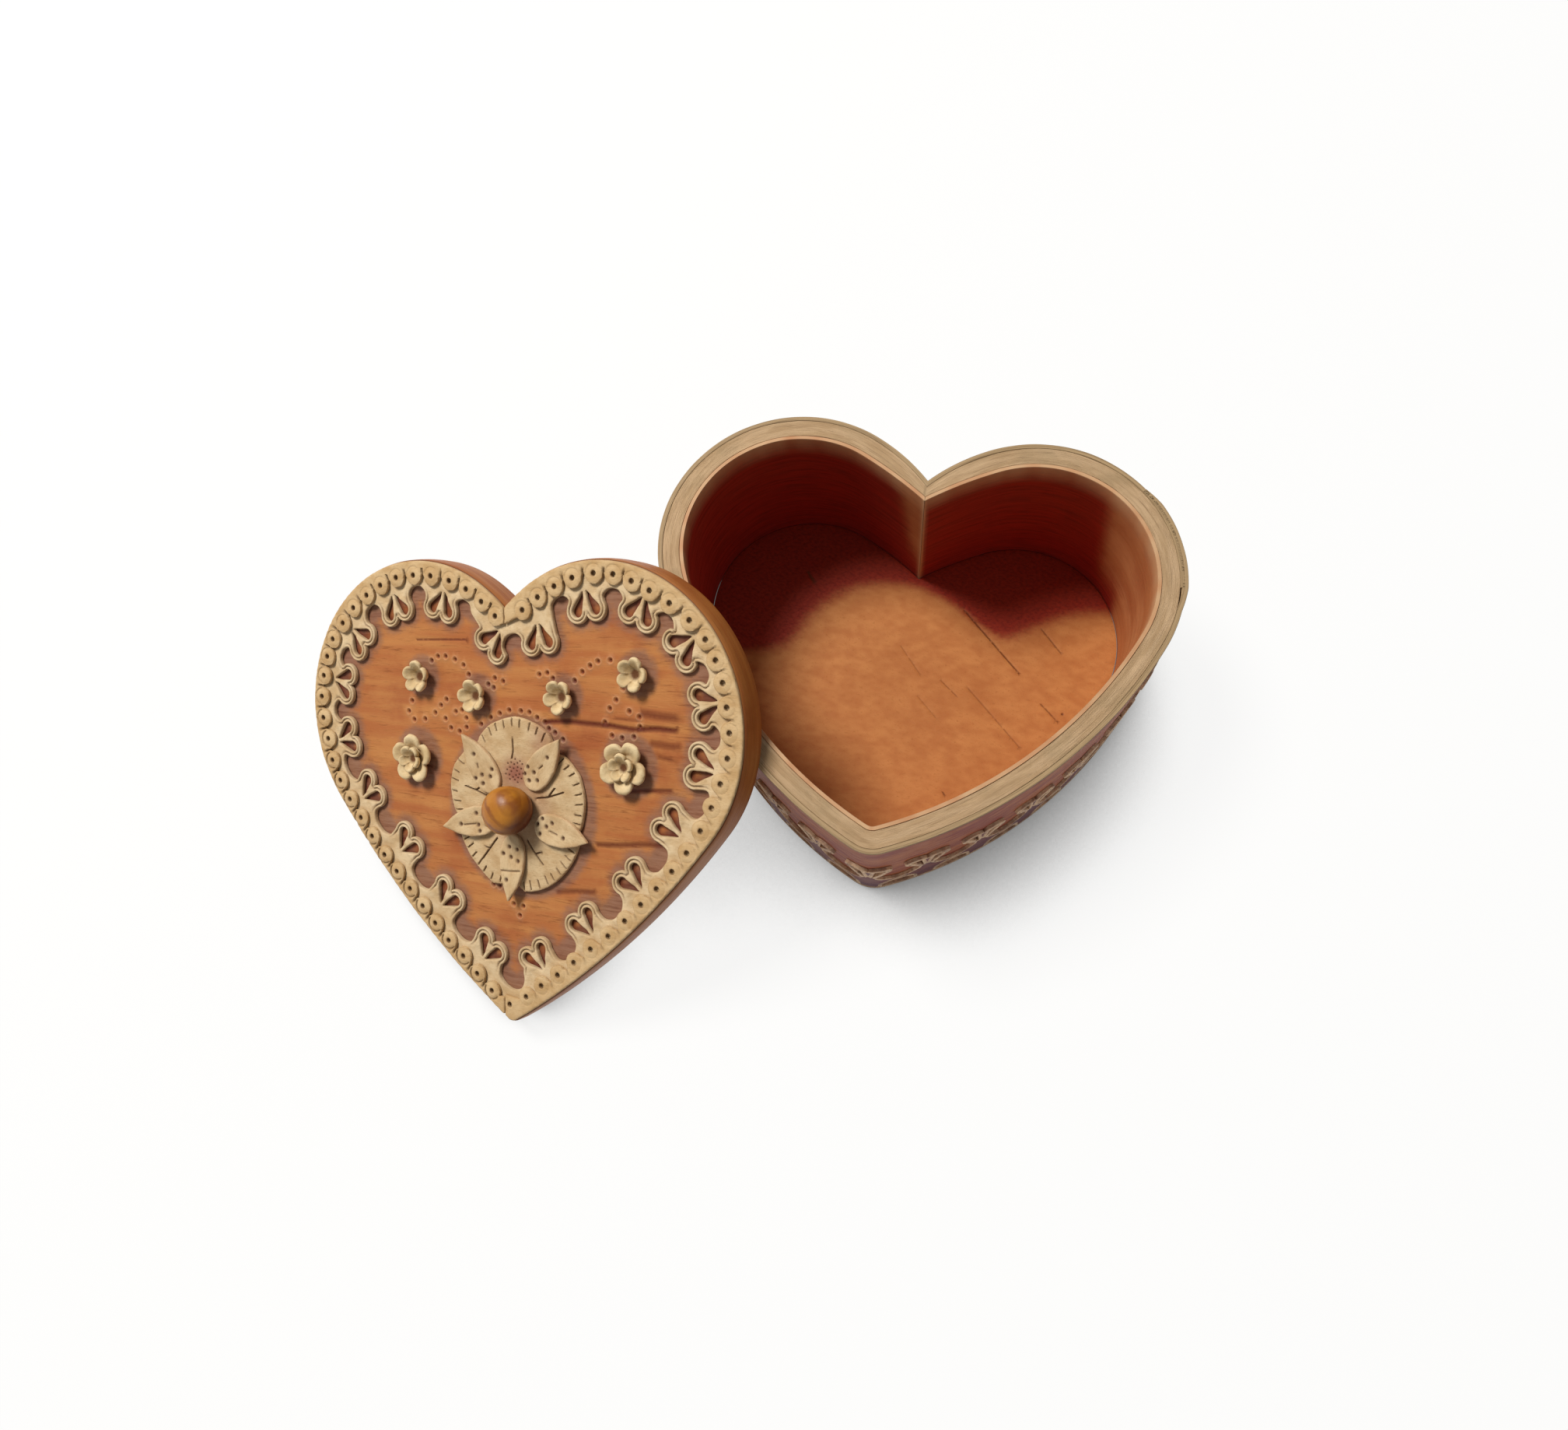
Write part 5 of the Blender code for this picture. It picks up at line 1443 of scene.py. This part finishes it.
buildRosette()
buildPetals()
buildBead()
buildFlowers()
print("rosette, bead and flowers ready")


# What stays from the frame

board = plainBark("birch_bark_board_underside", "#B98C58", "#8A5E36")
peg = plainBark("wood_peg_plain", "#B5803C", "#8A5018")
for node, material in (("bottom_board", board), ("lid_board", board), ("knob_peg", peg)):
    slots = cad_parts[node].data.materials
    for index in range(len(slots)):
        slots[index] = material


# The table, the light and the camera

# "shadeReach" and "open" say how far and how strongly the pieces shade the table that the camera sees
table = {
    "reach": 3000.0, "tones": ("#F0EFEC", "#F5F4F2"), "cloud": 25.0, "towardLight": (-0.30, 0.60, 0.74),
    "shadeReach": 52.0, "open": (0.27, 0.68), "darkest": 0.2, "white": (1.0, 0.998, 0.99, 1), "shown": 0.9,
}
lamp = {
    "azimuth": 147.5, "height": 57.5, "distance": 1500.0, "size": 520.0, "power": 23.5,
    "tint": (1.0, 0.985, 0.96), "target": (-30.0, -30.0, 30.0),
}
# The camera's own axes and place, as fitted to the photograph
view = {
    "right": (0.98032261, 0.17874133, -0.08378016), "up": (-0.15123802, 0.95282535, 0.26315567),
    "back": (0.12686466, -0.24530671, 0.96110872), "place": (11.0453, -113.6711, 310.9941),
    "lens": 25.817, "shift": (-0.00317, 0.00877),
}


def buildTable():
    reach = table["reach"] * mm
    corners = [(-reach, -reach, 0), (reach, -reach, 0), (reach, reach, 0), (-reach, reach, 0)]
    data = bpy.data.meshes.new("table_top")
    data.from_pydata(corners, [], [(0, 1, 2, 3)])
    made, tree, shader = newMaterial("table_white_matt")
    soft = grain(tree, [table["cloud"]] * 3, 3.0, 0.5, onObject=True)
    first, second = table["tones"]
    base = addNode(tree, "ShaderNodeMix", {"data_type": "RGBA"}, {0: soft, 6: colour(first), 7: colour(second)})
    finishSurface(tree, shader, base.outputs[2], (soft, 0.8, 0.9), [], shine=0.1)
    # The photographed table is nearly white: to the camera it only keeps the soft shade beside the pieces.
    x, y, z = table["towardLight"]
    toward = addNode(tree, "ShaderNodeCombineXYZ", {}, {0: x, 1: y, 2: z})
    near = addNode(tree, "ShaderNodeAmbientOcclusion", {"samples": 24}, {
        "Distance": table["shadeReach"] * mm, "Normal": toward.outputs[0]})
    low, high = table["open"]
    shade = addNode(tree, "ShaderNodeMapRange", {"interpolation_type": "SMOOTHSTEP"}, {
        "Value": near.outputs["AO"], "From Min": low, "From Max": high, "To Min": table["darkest"]})
    shown = addNode(tree, "ShaderNodeEmission", {}, {"Color": table["white"], "Strength": shade.outputs[0]})
    some = addNode(tree, "ShaderNodeMath", {"operation": "MULTIPLY"}, {0: seenWhite(tree), 1: table["shown"]})
    both = addNode(tree, "ShaderNodeMixShader", {}, {0: some.outputs[0], 1: shader.outputs[0], 2: shown.outputs[0]})
    tree.links.new(both.outputs[0], tree.nodes["Material Output"].inputs["Surface"])
    data.materials.append(made)
    top = bpy.data.objects.new("table_top", data)
    bpy.context.scene.collection.objects.link(top)


def buildWorld(strength):
    world = bpy.data.worlds.new("studio")
    bpy.context.scene.world = world
    world.use_nodes = True
    tree = world.node_tree
    tree.nodes.clear()
    fill = addNode(tree, "ShaderNodeBackground", {}, {"Color": (1, 1, 1, 1), "Strength": strength})
    white = addNode(tree, "ShaderNodeBackground", {}, {"Color": (1, 1, 1, 1), "Strength": 1.0})
    mix = addNode(tree, "ShaderNodeMixShader", {}, {0: seenWhite(tree), 1: fill.outputs[0], 2: white.outputs[0]})
    addNode(tree, "ShaderNodeOutputWorld", {}, {"Surface": mix.outputs[0]})


def buildLamp():
    data = bpy.data.lights.new("key", "AREA")
    data.shape = "DISK"
    data.size = lamp["size"] * mm
    data.energy = lamp["power"]
    data.color = lamp["tint"]
    made = bpy.data.objects.new("key", data)
    height = math.radians(lamp["height"])
    way = Vector((*(onCircle(math.radians(lamp["azimuth"])) * math.cos(height)), math.sin(height)))
    made.location = (Vector(lamp["target"]) + way * lamp["distance"]) * mm
    made.rotation_euler = way.to_track_quat("Z", "Y").to_euler()
    bpy.context.scene.collection.objects.link(made)


def buildCamera():
    data = bpy.data.cameras.new("camera")
    data.sensor_width = 36.0
    data.lens = view["lens"]
    data.shift_x, data.shift_y = view["shift"]
    data.clip_start = 0.01
    made = bpy.data.objects.new("camera", data)
    turn = Matrix([view[axis] for axis in ("right", "up", "back")]).transposed().to_4x4()
    made.matrix_world = Matrix.Translation(Vector(view["place"]) * mm) @ turn
    bpy.context.scene.collection.objects.link(made)
    bpy.context.scene.camera = made


buildTable()
buildWorld(0.22)
buildLamp()
buildCamera()
bpy.context.scene.view_settings.view_transform = "Standard"
print("stage ready")
